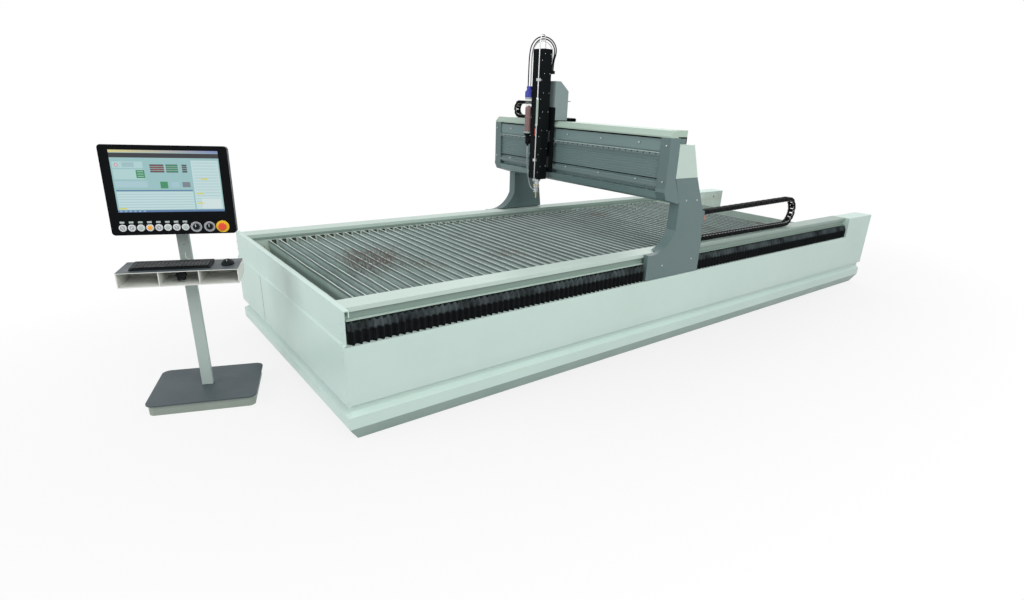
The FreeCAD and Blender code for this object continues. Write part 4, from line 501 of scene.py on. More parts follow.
def tank_plate(name, colour):
    """Wetted tank plate: cloudy stains, run marks, a tide line below the slats and rust specks."""
    finish = Finish(name, colour, 0.5)
    finish.edges(0.0015)
    finish.cloud(2.6, 7.0, 0.38, 0.66, 0.75, shade(colour, 0.7))
    finish.blend(finish.ramp(finish.noise(7.0, 6.0, (1.0, 1.0, 0.22)), 0.5, 0.72, 0.0, 0.6),
                 shade(colour, 1.3))
    wet = finish.times(finish.level(WATER_LINE, WATER_LOW), finish.noise(5.0, 5.0))
    finish.blend(wet, shade(colour, 0.66))
    tide = finish.times(finish.level(WATER_LINE, TIDE_TOP - 0.04),
                        finish.level(TIDE_TOP, TIDE_TOP - 0.04))
    finish.blend(finish.times(tide, finish.noise(11.0, 5.0)), (0.42, 0.44, 0.37))
    rust = finish.ramp(finish.noise(26.0, 6.0, None, 0.7), 0.66, 0.74, 0.0, 0.7)
    finish.blend(rust, (0.2, 0.085, 0.035))
    finish.uneven(6.0, 5.0, 0.3, 0.68)
    finish.bump(finish.noise(90.0, 5.0), 0.0004)
    return finish.done()


def slat_strip(name, colour):
    """Galvanised strip: bright tooth tips, abraded metal and painted highlight, over a line of painted
    shade, painted shade low down between the strips, cloudy zinc and rust in patches.
    """
    finish = Finish(name, colour, 0.5)
    top = SLAT_HIGH[2] * 0.001
    finish.blend(finish.ramp(finish.cells(45.0), 0.15, 0.6, 0.0, 0.5), shade(colour, 0.8))
    finish.cloud(4.0, 6.0, 0.42, 0.7, 0.7, shade(colour, 0.65))
    # Painted shade low down between the strips
    finish.blend(finish.level(top - 0.045, top - 0.075, 0.0, 0.7), shade(colour, 0.3))
    # A line of painted shade below the tooth tips
    dark = finish.times(finish.level(top - 0.026, top - 0.02),
                        finish.level(top - 0.006, top - 0.009, 0.0, 0.85))
    finish.blend(dark, shade(colour, 0.2))
    # Tooth tips: abraded metal and a painted highlight
    abraded_tip_and_highlight = finish.level(top - 0.007, top - 0.003)
    finish.blend(finish.times(abraded_tip_and_highlight, finish.ramp(finish.noise(55.0, 3.0), 0.3, 0.6, 0.6, 1.0)),
                 (0.86, 0.95, 0.92))
    stain = finish.ramp(finish.noise(1.1, 3.0), 0.56, 0.66)
    finish.blend(finish.times(stain, finish.ramp(finish.noise(38.0, 5.0), 0.42, 0.56, 0.0, 0.8)),
                 (0.2, 0.125, 0.11))
    finish.uneven(19.0, 5.0, 0.36, 0.66)
    finish.bump(finish.noise(150.0, 5.0, (1.0, 0.15, 1.0)), 0.0003)
    return finish.done()


def metal(name, colour, roughness):
    """Bare metal: fine drawn grain, cloudy tarnish and a painted highlight on the edges."""
    finish = Finish(name, colour, roughness, 1.0)
    rim = finish.edges(0.001)
    finish.cloud(14.0, 5.0, 0.4, 0.7, 0.6, shade(colour, 0.7))
    # Brighter edges: a painted highlight
    finish.blend(finish.times(rim, 0.5), shade(colour, 1.3))
    lines = finish.noise(260.0, 3.0)
    finish.rough(finish.ramp(lines, 0.3, 0.7, roughness - 0.08, roughness + 0.12))
    finish.bump(lines, 0.00005)
    return finish.done()


def moulded(name, colour, roughness, texture=0.00008, scale=500.0, dust=0.1, shine=0.35):
    """Moulded plastic or rubber: fine grain, a little dust and a soft painted highlight on the edges."""
    finish = Finish(name, colour, roughness)
    rim = finish.edges(0.001)
    finish.cloud(22.0, 5.0, 0.45, 0.75, dust, (0.32, 0.33, 0.32))
    finish.cloud(4.0, 3.0, 0.35, 0.7, 0.4, shade(colour, 0.75))
    # Paler edges: a painted highlight
    finish.blend(finish.times(rim, 0.3), shade(colour, 1.9))
    finish.uneven(30.0, 4.0, roughness - 0.05, roughness + 0.1)
    finish.bump(finish.noise(scale, 2.0), texture)
    finish.shine(shine)
    return finish.done()


def pleated(name, colour):
    """Coated fabric of the bellows: fine crossed weave, dust and a painted highlight on the upper slope,
    and greyer fold peaks.
    """
    finish = Finish(name, colour, 0.78)
    finish.cloud(18.0, 5.0, 0.42, 0.72, 0.35, (0.016, 0.019, 0.021))
    # Upper slope: dust and a painted highlight
    dust = finish.level(FOLD_DUST_AND_HIGHLIGHT_LOW, FOLD_DUST_AND_HIGHLIGHT_HIGH)
    finish.blend(finish.times(dust, finish.ramp(finish.noise(7.0, 6.0), 0.35, 0.62, 0.15, 1.0)),
                 (0.075, 0.095, 0.1))
    finish.uneven(30.0, 4.0, 0.6, 0.86)
    weave = finish.math("ADD", finish.waves(420.0, "X", 0.6), finish.waves(420.0, "Z", 0.6))
    finish.bump(weave, 0.00012)
    finish.shine(0.04)
    finish.feed(finish.shader, {"Sheen Weight": 0.02, "Sheen Roughness": 0.5})
    return finish.done()


def clear(name, colour, roughness, cover):
    """Clear plastic with faint scuffs and a dusty film, which hides as much as the cover says."""
    finish = Finish(name, colour, roughness)
    finish.cloud(20.0, 5.0, 0.45, 0.75, 0.3, shade(colour, 0.85))
    finish.uneven(35.0, 5.0, roughness, roughness + 0.15)
    finish.bump(finish.noise(60.0, 3.0, (1.0, 1.0, 0.2)), 0.0001)
    finish.shine(0.25)
    film = finish.ramp(finish.noise(24.0, 4.0), 0.3, 0.7, 0.8 * cover, cover)
    finish.feed(finish.shader, {"Alpha": film})
    return finish.done()


def grains(name, colour):
    """Abrasive grains: sparkling red-brown sand."""
    finish = Finish(name, colour, 0.6)
    cell = finish.cells(900.0)
    finish.blend(finish.ramp(cell, 0.2, 0.6), shade(colour, 0.45))
    finish.cloud(500.0, 2.0, 0.62, 0.7, 0.8, (0.75, 0.5, 0.45))
    finish.rough(finish.ramp(cell, 0.1, 0.6, 0.35, 0.8))
    finish.bump(cell, 0.0006)
    return finish.done()


def lit_panel(name, strength):
    """Screen tiles: each face takes its colour from the tint attribute and glows, with fine pixel rows."""
    finish = Finish(name, (0.02, 0.02, 0.02), 0.18)
    tint = finish.add("Attribute", {}, attribute_name="tint")
    rows = finish.ramp(finish.waves(900.0, "Z"), 0.0, 1.0, 0.9, 1.0)
    glow = finish.add("Mix", {}, data_type="RGBA")
    finish.feed(glow, {0: rows, 6: finish.rgb((0.0, 0.0, 0.0)), 7: tint.outputs["Color"]})
    finish.feed(finish.shader, {"Emission Color": glow.outputs[2], "Emission Strength": strength})
    finish.uneven(40.0, 4.0, 0.12, 0.24)
    return finish.done()


def floor_paint(name, colour, near, far):
    """Pale floor: to the camera, mirrors and glass it turns white from the near to the far distance."""
    finish = Finish(name, colour, 0.9)
    finish.cloud(0.8, 4.0, 0.3, 0.7, 0.1, shade(colour, 0.97))
    rays = finish.add("LightPath", {}).outputs
    seen = finish.math("MAXIMUM", rays["Is Camera Ray"], rays["Is Glossy Ray"])
    seen = finish.math("MAXIMUM", seen, rays["Is Transmission Ray"])
    size = finish.add("VectorMath", {}, operation="LENGTH")
    finish.feed(size, {0: finish.stretch((0.5, 1.0, 0.0))})
    share = finish.ramp(size.outputs["Value"], near, far, 0.8, 1.0)
    white = finish.add("Emission", {"Strength": 1.0})
    mixed = finish.add("MixShader", {0: finish.times(seen, share), 1: finish.shader.outputs[0],
                                     2: white.outputs[0]})
    finish.feed(finish.tree.nodes["Material Output"], {"Surface": mixed.outputs[0]})
    return finish.done()


def make_finishes(colours):
    """One finish for each slot of the record, and the few that only fine pieces need."""
    painted("pale_enamel", colours.enamel, 0.4, grime=0.5)
    painted("cover_white", colours.cover, 0.4, grime=0.2)
    # Rail covers: painted shade on the recessed step, and the same darker colour over all beyond an X
    painted("banded_cover", colours.cover, 0.4, band=(*RAIL_STEP_SHADE, colours.shade))
    # The beam's top cover: the cover paint made darker, painted shade to offset the stronger light on top
    # faces
    painted("beam_cover", colours.beam_cover, 0.42)
    # Plinth: painted shade on its downward-facing slope
    painted("plinth_enamel", colours.enamel, 0.4, band=(*PLINTH_SLOPE_SHADE, colours.slope))
    painted("skirt_grey", (0.3, 0.36, 0.32), 0.45, grime=0.3)
    painted("machine_grey", colours.machine, 0.42, edge_highlight=0.35)
    # The beam: the gantry grey made lighter, painted light to offset the weaker light on its front
    painted("beam_grey", colours.beam, 0.42, edge_highlight=0.35)
    painted("column_black", (0.006, 0.008, 0.009), 0.55, mottle=0.1, edge_highlight=0.6, shine=0.04)
    painted("slate_plate", colours.slate, 0.5, texture=0.00012, mottle=0.09)
    painted("pole_grey", (0.42, 0.5, 0.47), 0.4)
    painted("tray_white", (0.72, 0.74, 0.7), 0.42)
    desk_top("matted_tray", (0.72, 0.74, 0.7), TRAY_TOP * 0.001)
    tank_plate("tank_steel", colours.tank)
    slat_strip("slat_steel", colours.slat)
    metal("bright_steel", (0.6, 0.62, 0.62), 0.3)
    painted("rail_steel", (0.15, 0.21, 0.215), 0.4, mottle=0.1)
    # Keepers: near-black, painted shade of the notches at the slats' ends
    moulded("keeper_steel", (0.035, 0.045, 0.028), 0.7, 0.0004, 90.0)
    painted("housing_grey", colours.housing, 0.45, edge_highlight=0.3)
    metal("nozzle_brass", (0.74, 0.6, 0.36), 0.32)
    pleated("bellows_black", (0.007, 0.008, 0.009))
    moulded("chain_black", (0.006, 0.007, 0.008), 0.55, dust=0.03, shine=0.05)
    moulded("hose_black", (0.006, 0.007, 0.012), 0.42, 0.0001, 260.0, 0.03, 0.07)
    moulded("key_black", (0.009, 0.011, 0.013), 0.5, dust=0.04, shine=0.07)
    moulded("key_caps", (0.03, 0.034, 0.036), 0.6, dust=0.15, shine=0.3)
    moulded("cap_blue", (0.05, 0.06, 0.42), 0.4)
    moulded("button_white", (0.72, 0.76, 0.77), 0.35, dust=0.2)
    moulded("ring_yellow", (0.88, 0.55, 0.02), 0.4)
    moulded("stop_red", (0.8, 0.07, 0.03), 0.36)
    clear("clear_hopper", (0.7, 0.74, 0.73), 0.12, 0.1)
    clear("clear_tube", (0.7, 0.76, 0.78), 0.22, 0.75)
    moulded("screen_glass", (0.006, 0.008, 0.009), 0.16, 0.00001, dust=0.005, shine=0.06)
    moulded("gloss_black", (0.004, 0.005, 0.006), 0.3, 0.00002, dust=0.005, shine=0.04)
    moulded("chain_clip", (0.42, 0.44, 0.42), 0.5)
    metal("dial_grey", (0.34, 0.36, 0.38), 0.38)
    moulded("lamp_amber", (0.95, 0.42, 0.04), 0.3)
    moulded("tag_red", (0.42, 0.04, 0.03), 0.5)
    moulded("plug_orange", (0.5, 0.22, 0.16), 0.5)
    grains("garnet", (0.36, 0.1, 0.1))
    lit_panel("screen_tiles", 0.8)


# Settings shown in the sidebar

def number(label, value, text="Millimetres", unit="NONE"):
    """Setting that holds one number."""
    return FloatProperty(name=label, description=text, default=value, unit=unit)


def tint(name, value):
    """Colour setting of a finish."""
    return FloatVectorProperty(name=name, description=name + " colour", size=3, subtype="COLOR",
                               default=value)


class CameraSettings(bpy.types.PropertyGroup):
    place: FloatVectorProperty(name="Place", description="Where the camera stands", size=3,
                               subtype="TRANSLATION", unit="LENGTH", default=(-4.1079, -3.8178, 1.8436))
    azimuth: number("Azimuth", math.radians(50.668), "Turn of the view from +X", "ROTATION")
    pitch: number("Pitch", math.radians(20.914), "How far the view looks down", "ROTATION")
    roll: number("Roll", math.radians(-2.667), "Turn about the view line", "ROTATION")
    lens: number("Lens", 20.42, "Focal length on a 36 mm wide film")
    shift: FloatVectorProperty(name="Shift", description="Share of the width the view is shifted by",
                               size=2, default=(-0.0171, 0.0224))


class StageSettings(bpy.types.PropertyGroup):
    key_power: number("Key light", 430.0, "Power of the large lamp over the near side", "POWER")
    fill_power: number("Fill light", 300.0, "Power of the lamp over the far end", "POWER")
    side_power: number("Side light", 170.0, "Power of the lamp before the left end", "POWER")
    sky: number("Sky", 0.5, "Brightness of the light from all round")
    floor_size: number("Floor", 120.0, "Length of the floor's side", "LENGTH")
    floor_grey: number("Floor grey", 0.52, "Reflectance of the floor")
    white_from: number("White from", 1.3, "Where the floor starts to turn white", "LENGTH")
    white_to: number("White to", 3.2, "Where the floor is all white", "LENGTH")


class BedSettings(bpy.types.PropertyGroup):
    slats: IntProperty(name="Slats", description="Number of support strips", default=61, min=2)
    tooth: number("Tooth pitch", 16.0)
    tooth_depth: number("Tooth depth", 7.0)
    weave: number("Weave", 3.0, "How far a strip wanders sideways, millimetres")
    thickness: number("Slat thickness", 3.0)
    pleat: number("Pleat pitch", 42.0)
    link: number("Link pitch", 44.0, "Bed chain, millimetres between pins")
    small_link: number("Small link pitch", 32.0, "Beam chain, millimetres between pins")
    chain_bend: number("Chain bend", 122.0, "Bed chain's bend radius, millimetres")
    small_bend: number("Small chain bend", 64.0, "Beam chain's bend radius, millimetres")
    chain_height: number("Chain height", 35.0, "Bed chain, millimetres")
    small_height: number("Small chain height", 28.0, "Beam chain, millimetres")
    bead: number("Weld bead", 3.5, "Radius of a weld bead, millimetres")


class GantrySettings(bpy.types.PropertyGroup):
    rail_bolt_pitch: number("Rail bolts", 60.0)
    rib_pitch: number("Panel ribs", 19.0)
    screw_radius: number("Screw radius", 6.5)
    strip_width: number("Top strip", 80.0, "Width of the top cover over the end blocks, millimetres")


class HeadSettings(bpy.types.PropertyGroup):
    column_bolt_pitch: number("Column bolts", 150.0)
    abrasive_top: number("Abrasive level", 1800.0, "Height of the grains, millimetres")


class ConsoleSettings(bpy.types.PropertyGroup):
    key_pitch: number("Key pitch", 19.0)
    button_pitch: number("Button pitch", 43.0)
    dial_radius: number("Dial radius", 29.0)


class ColourSettings(bpy.types.PropertyGroup):
    enamel: tint("Panel", (0.595, 0.755, 0.7))
    # Painted shade of the plinth's downward-facing slope
    slope: tint("Plinth slope", (0.3, 0.43, 0.385))
    cover: tint("Cover", (0.53, 0.66, 0.6))
    # Painted shade of the rail covers' recessed step
    shade: tint("Cover step", (0.24, 0.33, 0.29))
    # Cover paint made darker for the beam's top cover: painted shade
    beam_cover: tint("Beam cover", (0.42, 0.545, 0.465))
    machine: tint("Gantry", (0.118, 0.182, 0.182))
    # Gantry grey made lighter for the beam: painted light
    beam: tint("Beam", (0.185, 0.275, 0.275))
    housing: tint("Motor housing", (0.23, 0.3, 0.3))
    slate: tint("Console plate", (0.05, 0.07, 0.08))
    tank: tint("Tank", (0.5, 0.62, 0.56))
    slat: tint("Slats", (0.62, 0.76, 0.73))


class Maker:
    """What the operators share: they make their pieces and stop with an error if none came."""

    bl_options = {"REGISTER", "UNDO"}

    def execute(self, context):
        before = len(bpy.data.objects)
        self.make(context.scene)
        if len(bpy.data.objects) == before:
            raise RuntimeError(self.bl_label + ": nothing was made")
        return {"FINISHED"}


# Camera, hoses and tubes

class WATERJET_OT_camera(Maker, bpy.types.Operator):
    """Sets the camera where the picture was taken"""

    bl_idname = "waterjet.camera"
    bl_label = "Camera"

    def make(self, scene):
        s = scene.waterjet_camera
        ahead = np.array([math.cos(s.pitch) * math.cos(s.azimuth), math.cos(s.pitch) * math.sin(s.azimuth),
                          -math.sin(s.pitch)])
        right = np.array([math.sin(s.azimuth), -math.cos(s.azimuth), 0.0])
        down = np.cross(ahead, right)
        across = math.cos(s.roll) * right + math.sin(s.roll) * down
        below = math.cos(s.roll) * down - math.sin(s.roll) * right
        lens = bpy.data.cameras.new("viewpoint")
        lens.sensor_fit = "HORIZONTAL"
        lens.sensor_width = 36.0
        lens.lens = s.lens
        lens.shift_x, lens.shift_y = s.shift
        lens.clip_end = 300.0
        camera = bpy.data.objects.new("viewpoint", lens)
        scene.collection.objects.link(camera)
        turn = np.eye(4)
        turn[:3, 0], turn[:3, 1], turn[:3, 2], turn[:3, 3] = across, -below, -ahead, s.place
        camera.matrix_world = Matrix(turn.tolist())
        scene.camera = camera


def hose(name, route, width, finish, body, node, place=np.asarray):
    """Smooth cord through the route's points, in millimetres, that stands for its CAD tube."""
    route = place(route) * 0.001
    line = bpy.data.curves.new(name, "CURVE")
    line.dimensions = "3D"
    line.bevel_depth = width * 0.0005
    line.bevel_resolution = 4
    line.use_fill_caps = True
    line.resolution_u = 12
    spline = line.splines.new("NURBS")
    spline.points.add(len(route) - 1)
    spline.points.foreach_set("co", np.c_[route, np.ones(len(route))].ravel())
    spline.order_u = 3
    spline.use_endpoint_u = True
    line.materials.append(bpy.data.materials[finish])
    piece = bpy.data.objects.new(name, line)
    bpy.context.scene.collection.objects.link(piece)
    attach(piece, body)
    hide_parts(node)


class WATERJET_OT_hoses(Maker, bpy.types.Operator):
    """Lays the head's hoses, the clear tubes and the mouse cable on their routes"""

    bl_idname = "waterjet.hoses"
    bl_label = "Hoses"

    def make(self, scene):
        hose("inner_hose", INNER_HOSE, 10.0, "hose_black", "head", "head_hoses")
        hose("outer_hose", OUTER_HOSE, 10.0, "hose_black", "head", "head_hoses")
        hose("clear_feed_tube", FEED_TUBE, 8.0, "clear_tube", "head", "feed_tube")
        hose("clear_abrasive_tube", ABRASIVE_TUBE, 9.0, "clear_tube", "head", "abrasive_tube")
        hose("pale_mouse_cable", MOUSE_CABLE, 3.5, "tray_white", "bed", "mouse_cable", on_console)


# Stage

def lamp(name, power, size, place, colour=(1.0, 1.0, 1.0)):
    """Large square area lamp that looks at the machine."""
    light = bpy.data.lights.new(name, "AREA")
    light.energy = power
    light.size = size
    light.color = colour
    piece = bpy.data.objects.new(name, light)
    bpy.context.scene.collection.objects.link(piece)
    turn = facing(np.subtract(place, LAMP_TARGET))
    spot = np.eye(4)
    spot[:3, :3], spot[:3, 3] = turn, place
    piece.matrix_world = Matrix(spot.tolist())


class WATERJET_OT_stage(Maker, bpy.types.Operator):
    """Makes the pale floor, the lamps and the light all round"""

    bl_idname = "waterjet.stage"
    bl_label = "Stage"

    def make(self, scene):
        s = scene.waterjet_stage
        half = s.floor_size / 2.0
        mesh = bpy.data.meshes.new("studio_floor")
        mesh.from_pydata([(-half, -half, -0.001), (half, -half, -0.001), (half, half, -0.001),
                          (-half, half, -0.001)], [], [(0, 1, 2, 3)])
        mesh.materials.append(floor_paint("studio_floor", (s.floor_grey,) * 3, s.white_from, s.white_to))
        floor = bpy.data.objects.new("studio_floor", mesh)
        scene.collection.objects.link(floor)
        lamp("key_lamp", s.key_power, 6.0, KEY_PLACE, (1.0, 0.99, 0.97))
        lamp("fill_lamp", s.fill_power, 7.0, FILL_PLACE)
        lamp("side_lamp", s.side_power, 4.0, SIDE_PLACE, (0.97, 0.99, 1.0))
        world = bpy.data.worlds.new("studio_light")
        world.use_nodes = True
        tree = world.node_tree
        rays = tree.nodes.new("ShaderNodeLightPath")
        seen = rays.outputs["Is Camera Ray"]
        for other in ("Is Glossy Ray", "Is Transmission Ray"):
            either = tree.nodes.new("ShaderNodeMath")
            either.operation = "MAXIMUM"
            tree.links.new(seen, either.inputs[0])
            tree.links.new(rays.outputs[other], either.inputs[1])
            seen = either.outputs[0]
        level = tree.nodes.new("ShaderNodeMapRange")
        level.inputs["To Min"].default_value = s.sky
        tree.links.new(seen, level.inputs["Value"])
        tree.links.new(level.outputs[0], tree.nodes["Background"].inputs["Strength"])
        tree.nodes["Background"].inputs["Color"].default_value = (1.0, 1.0, 1.0, 1.0)
        scene.world = world


class WATERJET_OT_dress_frame(bpy.types.Operator):
    """Gives each piece of the frame the finish of its slot"""

    bl_idname = "waterjet.dress_frame"
    bl_label = "Finishes"
    bl_options = {"REGISTER", "UNDO"}

    def execute(self, context):
        make_finishes(context.scene.waterjet_colours)
        special = {"monitor_housing": "gloss_black", "keyboard_tray": "matted_tray",
                   "console_base": "skirt_grey", "rail_covers": "banded_cover", "beam": "beam_grey",
                   "plinth_sides": "plinth_enamel", "plinth_ends": "plinth_enamel",
                   "beam_guide_rails": "rail_steel", "motor_housing": "housing_grey"}
        for part in frame["record"]["subparts"]:
            node = frame["nodes"][part["node"]]
            finish = special.get(part["node"], part["material_slot"])
            if finish not in bpy.data.materials:
                raise RuntimeError("no finish is named " + finish)
            node.data.materials.clear()
            node.data.materials.append(bpy.data.materials[finish])
        return {"FINISHED"}


# Bed

def serrated_slat(x, seed, s):
    """Strip along Y: its top edge falls by the tooth depth between teeth, its line wanders sideways."""
    reach = SLAT_HIGH[1] - 0.5
    teeth = int(2.0 * reach / s.tooth)
    y = np.linspace(-reach, reach, 4 * teeth + 1)
    phase = waver(3, seed, 0.0, 2.0 * math.pi)
    drift = 0.6 * np.sin(y / 210.0 + phase[0]) + 0.4 * np.sin(y / 83.0 + phase[1])
    drift *= s.weave * (1.0 - (y / reach) ** 4)
    cut = np.array((0.0, 0.75, 1.0, 0.75))[np.arange(len(y)) % 4]
    top = SLAT_HIGH[2] - s.tooth_depth * cut - 0.8 * (1.0 + np.sin(y / 300.0 + phase[2]))
    half = s.thickness / 2.0
    low = np.full_like(y, SLAT_LOW[2])
    sides = [(x - half + 0.4 * drift, low), (x + half + 0.4 * drift, low), (x + half + drift, top),
             (x - half + drift, top)]
    return stack(np.stack([np.stack([across, y, height], axis=-1) for across, height in sides], axis=1))


def slat_places(s):
    """X of each slat, evenly from the first to the last."""
    half = s.thickness / 2.0
    return np.linspace(SLAT_LOW[0] + half, SLAT_HIGH[0] - half, s.slats)


class WATERJET_OT_slats(Maker, bpy.types.Operator):
    """Makes the bank of toothed support strips across the tank"""

    bl_idname = "waterjet.slats"
    bl_label = "Slats"

    def make(self, scene):
        s = scene.waterjet_bed
        strips = [serrated_slat(x, 40 + i, s) for i, x in enumerate(slat_places(s))]
        put("toothed_slats", joined(strips), "slat_steel", "bed", False, ["slat_bank"])


class WATERJET_OT_combs(Maker, bpy.types.Operator):
    """Sets the keepers that hold each slat's end at the tank's long walls"""

    bl_idname = "waterjet.combs"
    bl_label = "Slat keepers"

    def make(self, scene):
        s = scene.waterjet_bed
        x = slat_places(s)
        x = (x[1:] + x[:-1]) / 2.0
        places = np.stack([x, np.full_like(x, -INNER_FACE + KEEPER_OUT),
                           np.full_like(x, SLAT_LOW[2] + KEEPER_RISE)], axis=-1)
        keepers = mirrored(strewn(block(*KEEPER_SIZE), places))
        # Their near-black colour is painted shade of the notches
        put("slat_keepers", keepers, "keeper_steel", "bed", False)


def pleats(start, end, pitch):
    """Closed shell folded along X between a valley and a peak line, with a sloping upper part."""
    count = int(round((end - start) / pitch))
    cycle = np.array([(0.0, 0.0), (0.14, 0.06), (0.4, 0.9), (0.5, 1.0), (0.6, 0.9), (0.86, 0.06)])
    x = (np.arange(count)[:, None] + cycle[None, :, 0]).ravel() * (end - start) / count + start
    out = np.tile(cycle[:, 1], count)
    x, out = np.r_[x, end], np.r_[out, 0.0]
    low, high = corners("left_bellows")
    face = high[1] - FOLD_DEPTH * (1.0 - out)
    top = high[2] - FOLD_SINK * (1.0 - out)
    knee = top - FOLD_SLOPE
    foot = low[2] + 2.0 * (1.0 - out)
    back = np.full_like(x, high[1] - FOLD_BACK)
    outline = [(back, foot), (face, foot), (face, knee), (back + 7.0 * out, top), (back, top)]
    return stack(np.stack([np.stack([x, -side, height], axis=-1) for side, height in outline], axis=1))


class WATERJET_OT_bellows(Maker, bpy.types.Operator):
    """Makes the folded covers of the guide slots, fixed in place; the real ones stretch with the gantry's
    travel
    """

    bl_idname = "waterjet.bellows"
    bl_label = "Bellows"

    def make(self, scene):
        pitch = scene.waterjet_bed.pleat
        for side, bed_end in (("left", 0), ("right", 1)):
            box = corners(side + "_bellows")
            shape = mirrored(pleats(box[0][0], box[1][0], pitch))
            piece = put(side + "_folds", shape, "bellows_black", None, False, [side + "_bellows"])
            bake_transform(piece)


def stadium(length, radius, steps=6):
    """Outline of a link plate: two half circles a length apart."""
    angle = np.linspace(-math.pi / 2.0, math.pi / 2.0, steps)
    cap = np.stack([radius * np.cos(angle), radius * np.sin(angle)], axis=-1)
    return np.concatenate([cap + (length / 2.0, 0.0), -cap - (length / 2.0, 0.0)])


def chain_places(route, pitch):
    """Places and directions of the links at even steps of length along a route."""
    route = np.asarray(route, float)
    length = np.r_[0.0, np.cumsum(np.linalg.norm(np.diff(route, axis=0), axis=1))]
    count = int(length[-1] / pitch)
    at = (np.arange(count) + 0.5) * length[-1] / count
    spot, before, after = (np.stack([np.interp(at + step, length, route[:, k]) for k in (0, 1)], axis=-1)
                           for step in (0.0, -2.0, 2.0))
    ahead = after - before
    return spot, ahead / np.linalg.norm(ahead, axis=1)[:, None]


def energy_chain(name, route, pitch, width, height, run_axis, middle, node):
    """Chain of links on a route in an upright plane: side plates that lap, pins, lids and pale grey top
    blocks.
    """
    spot, ahead = chain_places(route, pitch)
    zero = np.zeros(len(spot))
    if run_axis == "X":
        place = np.stack([spot[:, 0], zero + middle, spot[:, 1]], axis=-1)
        x = np.stack([ahead[:, 0], zero, ahead[:, 1]], axis=-1)
        y = np.tile((0.0, 1.0, 0.0), (len(spot), 1))
    else:
        place = np.stack([zero + middle, spot[:, 0], spot[:, 1]], axis=-1)
        x = np.stack([zero, ahead[:, 0], ahead[:, 1]], axis=-1)
        y = np.tile((-1.0, 0.0, 0.0), (len(spot), 1))
    turns = np.stack([x, y, np.cross(x, y)], axis=-1)
    outline = stadium(pitch, height / 2.0 - 0.5)
    wide, thick = width / 2.0, 3.4

    def side_plates(near, far):
        return [run(outline, (0.0, side * near, 0.0), (0.0, side * far, 0.0), (1.0, 0.0, 0.0),
                    (0.0, 0.0, float(side))) for side in (-1, 1)]

    pin = turned([(4.6, 0.0), (4.6, 1.0), (3.4, 1.6), (1.4, 1.6)], 10)
    pins = [shifted(aimed(pin, (0.0, side, 0.0)), (pitch / 2.0, side * wide, 0.0)) for side in (-1, 1)]
    lid = block(0.3 * pitch, wide - 2.2 * thick, 3.0, 1.0)
    lids = [shifted(lid, (0.0, 0.0, height / 2.0 - 3.2)), shifted(lid, (0.0, 0.0, 0.2 - height / 2.0))]
    odd = np.arange(len(spot)) % 2 == 1
    shapes = [strewn(joined(side_plates(wide, wide - thick) + pins), place[~odd], turns[~odd]),
              strewn(joined(side_plates(wide - thick, wide - 2.0 * thick)), place[odd], turns[odd]),
              strewn(joined(lids), place, turns)]
    put(name, joined(shapes), "chain_black", "gantry", True, [node])
    # Pale grey blocks along the top of each link's sides, for the light dashes along the chain
    pale_block = block(0.24 * pitch, 3.4, 3.4, 1.2)
    pale_blocks = [shifted(pale_block, (0.0, side * (wide - 2.2), height / 2.0 - 1.2)) for side in (-1, 1)]
    put(name + "_pale_blocks", strewn(joined(pale_blocks), place, turns), "chain_clip", "gantry")


def bend(centre, radius, start, end, steps=24):
    """Arc in an upright plane, angles in degrees."""
    angle = np.radians(np.linspace(start, end, steps))
    return np.stack([centre[0] + radius * np.cos(angle), centre[1] + radius * np.sin(angle)], axis=-1)


class WATERJET_OT_chains(Maker, bpy.types.Operator):
    """Makes the links of the energy chains on the near side and on the beam"""

    bl_idname = "waterjet.chains"
    bl_label = "Energy chains"

    def make(self, scene):
        s = scene.waterjet_bed
        low, high = corners("bed_energy_chain")
        end = corners("chain_bracket")[1]
        middle, height, radius = (low[1] + high[1]) / 2.0, s.chain_height, s.chain_bend
        centre = (high[0] - radius - height / 2.0, low[2] + height / 2.0 + radius)
        tail = (low[0], end[2] - height / 2.0)
        slope = math.atan2(centre[1] + radius - tail[1], centre[0] - tail[0])
        arc = bend(centre, radius, -90.0, 90.0 + math.degrees(slope))
        route = np.vstack([(low[0], low[2] + height / 2.0), arc, tail])
        energy_chain("bed_chain_links", route, s.link, high[1] - low[1], height, "X", middle,
                     "bed_energy_chain")
        plug = shifted(block(*PLUG_SIZE), (end[0] + PLUG_AHEAD, middle, tail[1] - PLUG_DROP))
        put("orange_plug", plug, "plug_orange", "gantry")
        low, high = corners("beam_energy_chain")
        height, radius = s.small_height, s.small_bend
        centre = (high[1] - radius - height / 2.0, low[2] + height / 2.0 + radius)
        arm = corners("chain_arm")[1][1]
        route = np.vstack([(low[1], low[2] + height / 2.0), bend(centre, radius, -90.0, 90.0),
                           (arm - 20.0, high[2] - height / 2.0)])
        energy_chain("beam_chain_links", route, s.small_link, high[0] - low[0], height, "Y",
                     (low[0] + high[0]) / 2.0, "beam_energy_chain")


def weld(start, end, radius, step=9.0):
    """Rippled bead laid in a straight line."""
    start, end = np.asarray(start, float), np.asarray(end, float)
    count = max(2, int(np.linalg.norm(end - start) / step * 3.0))
    share = np.linspace(0.0, 1.0, count)[:, None]
    return along(start + (end - start) * share, radius, 6, 0.22 * radius, step)


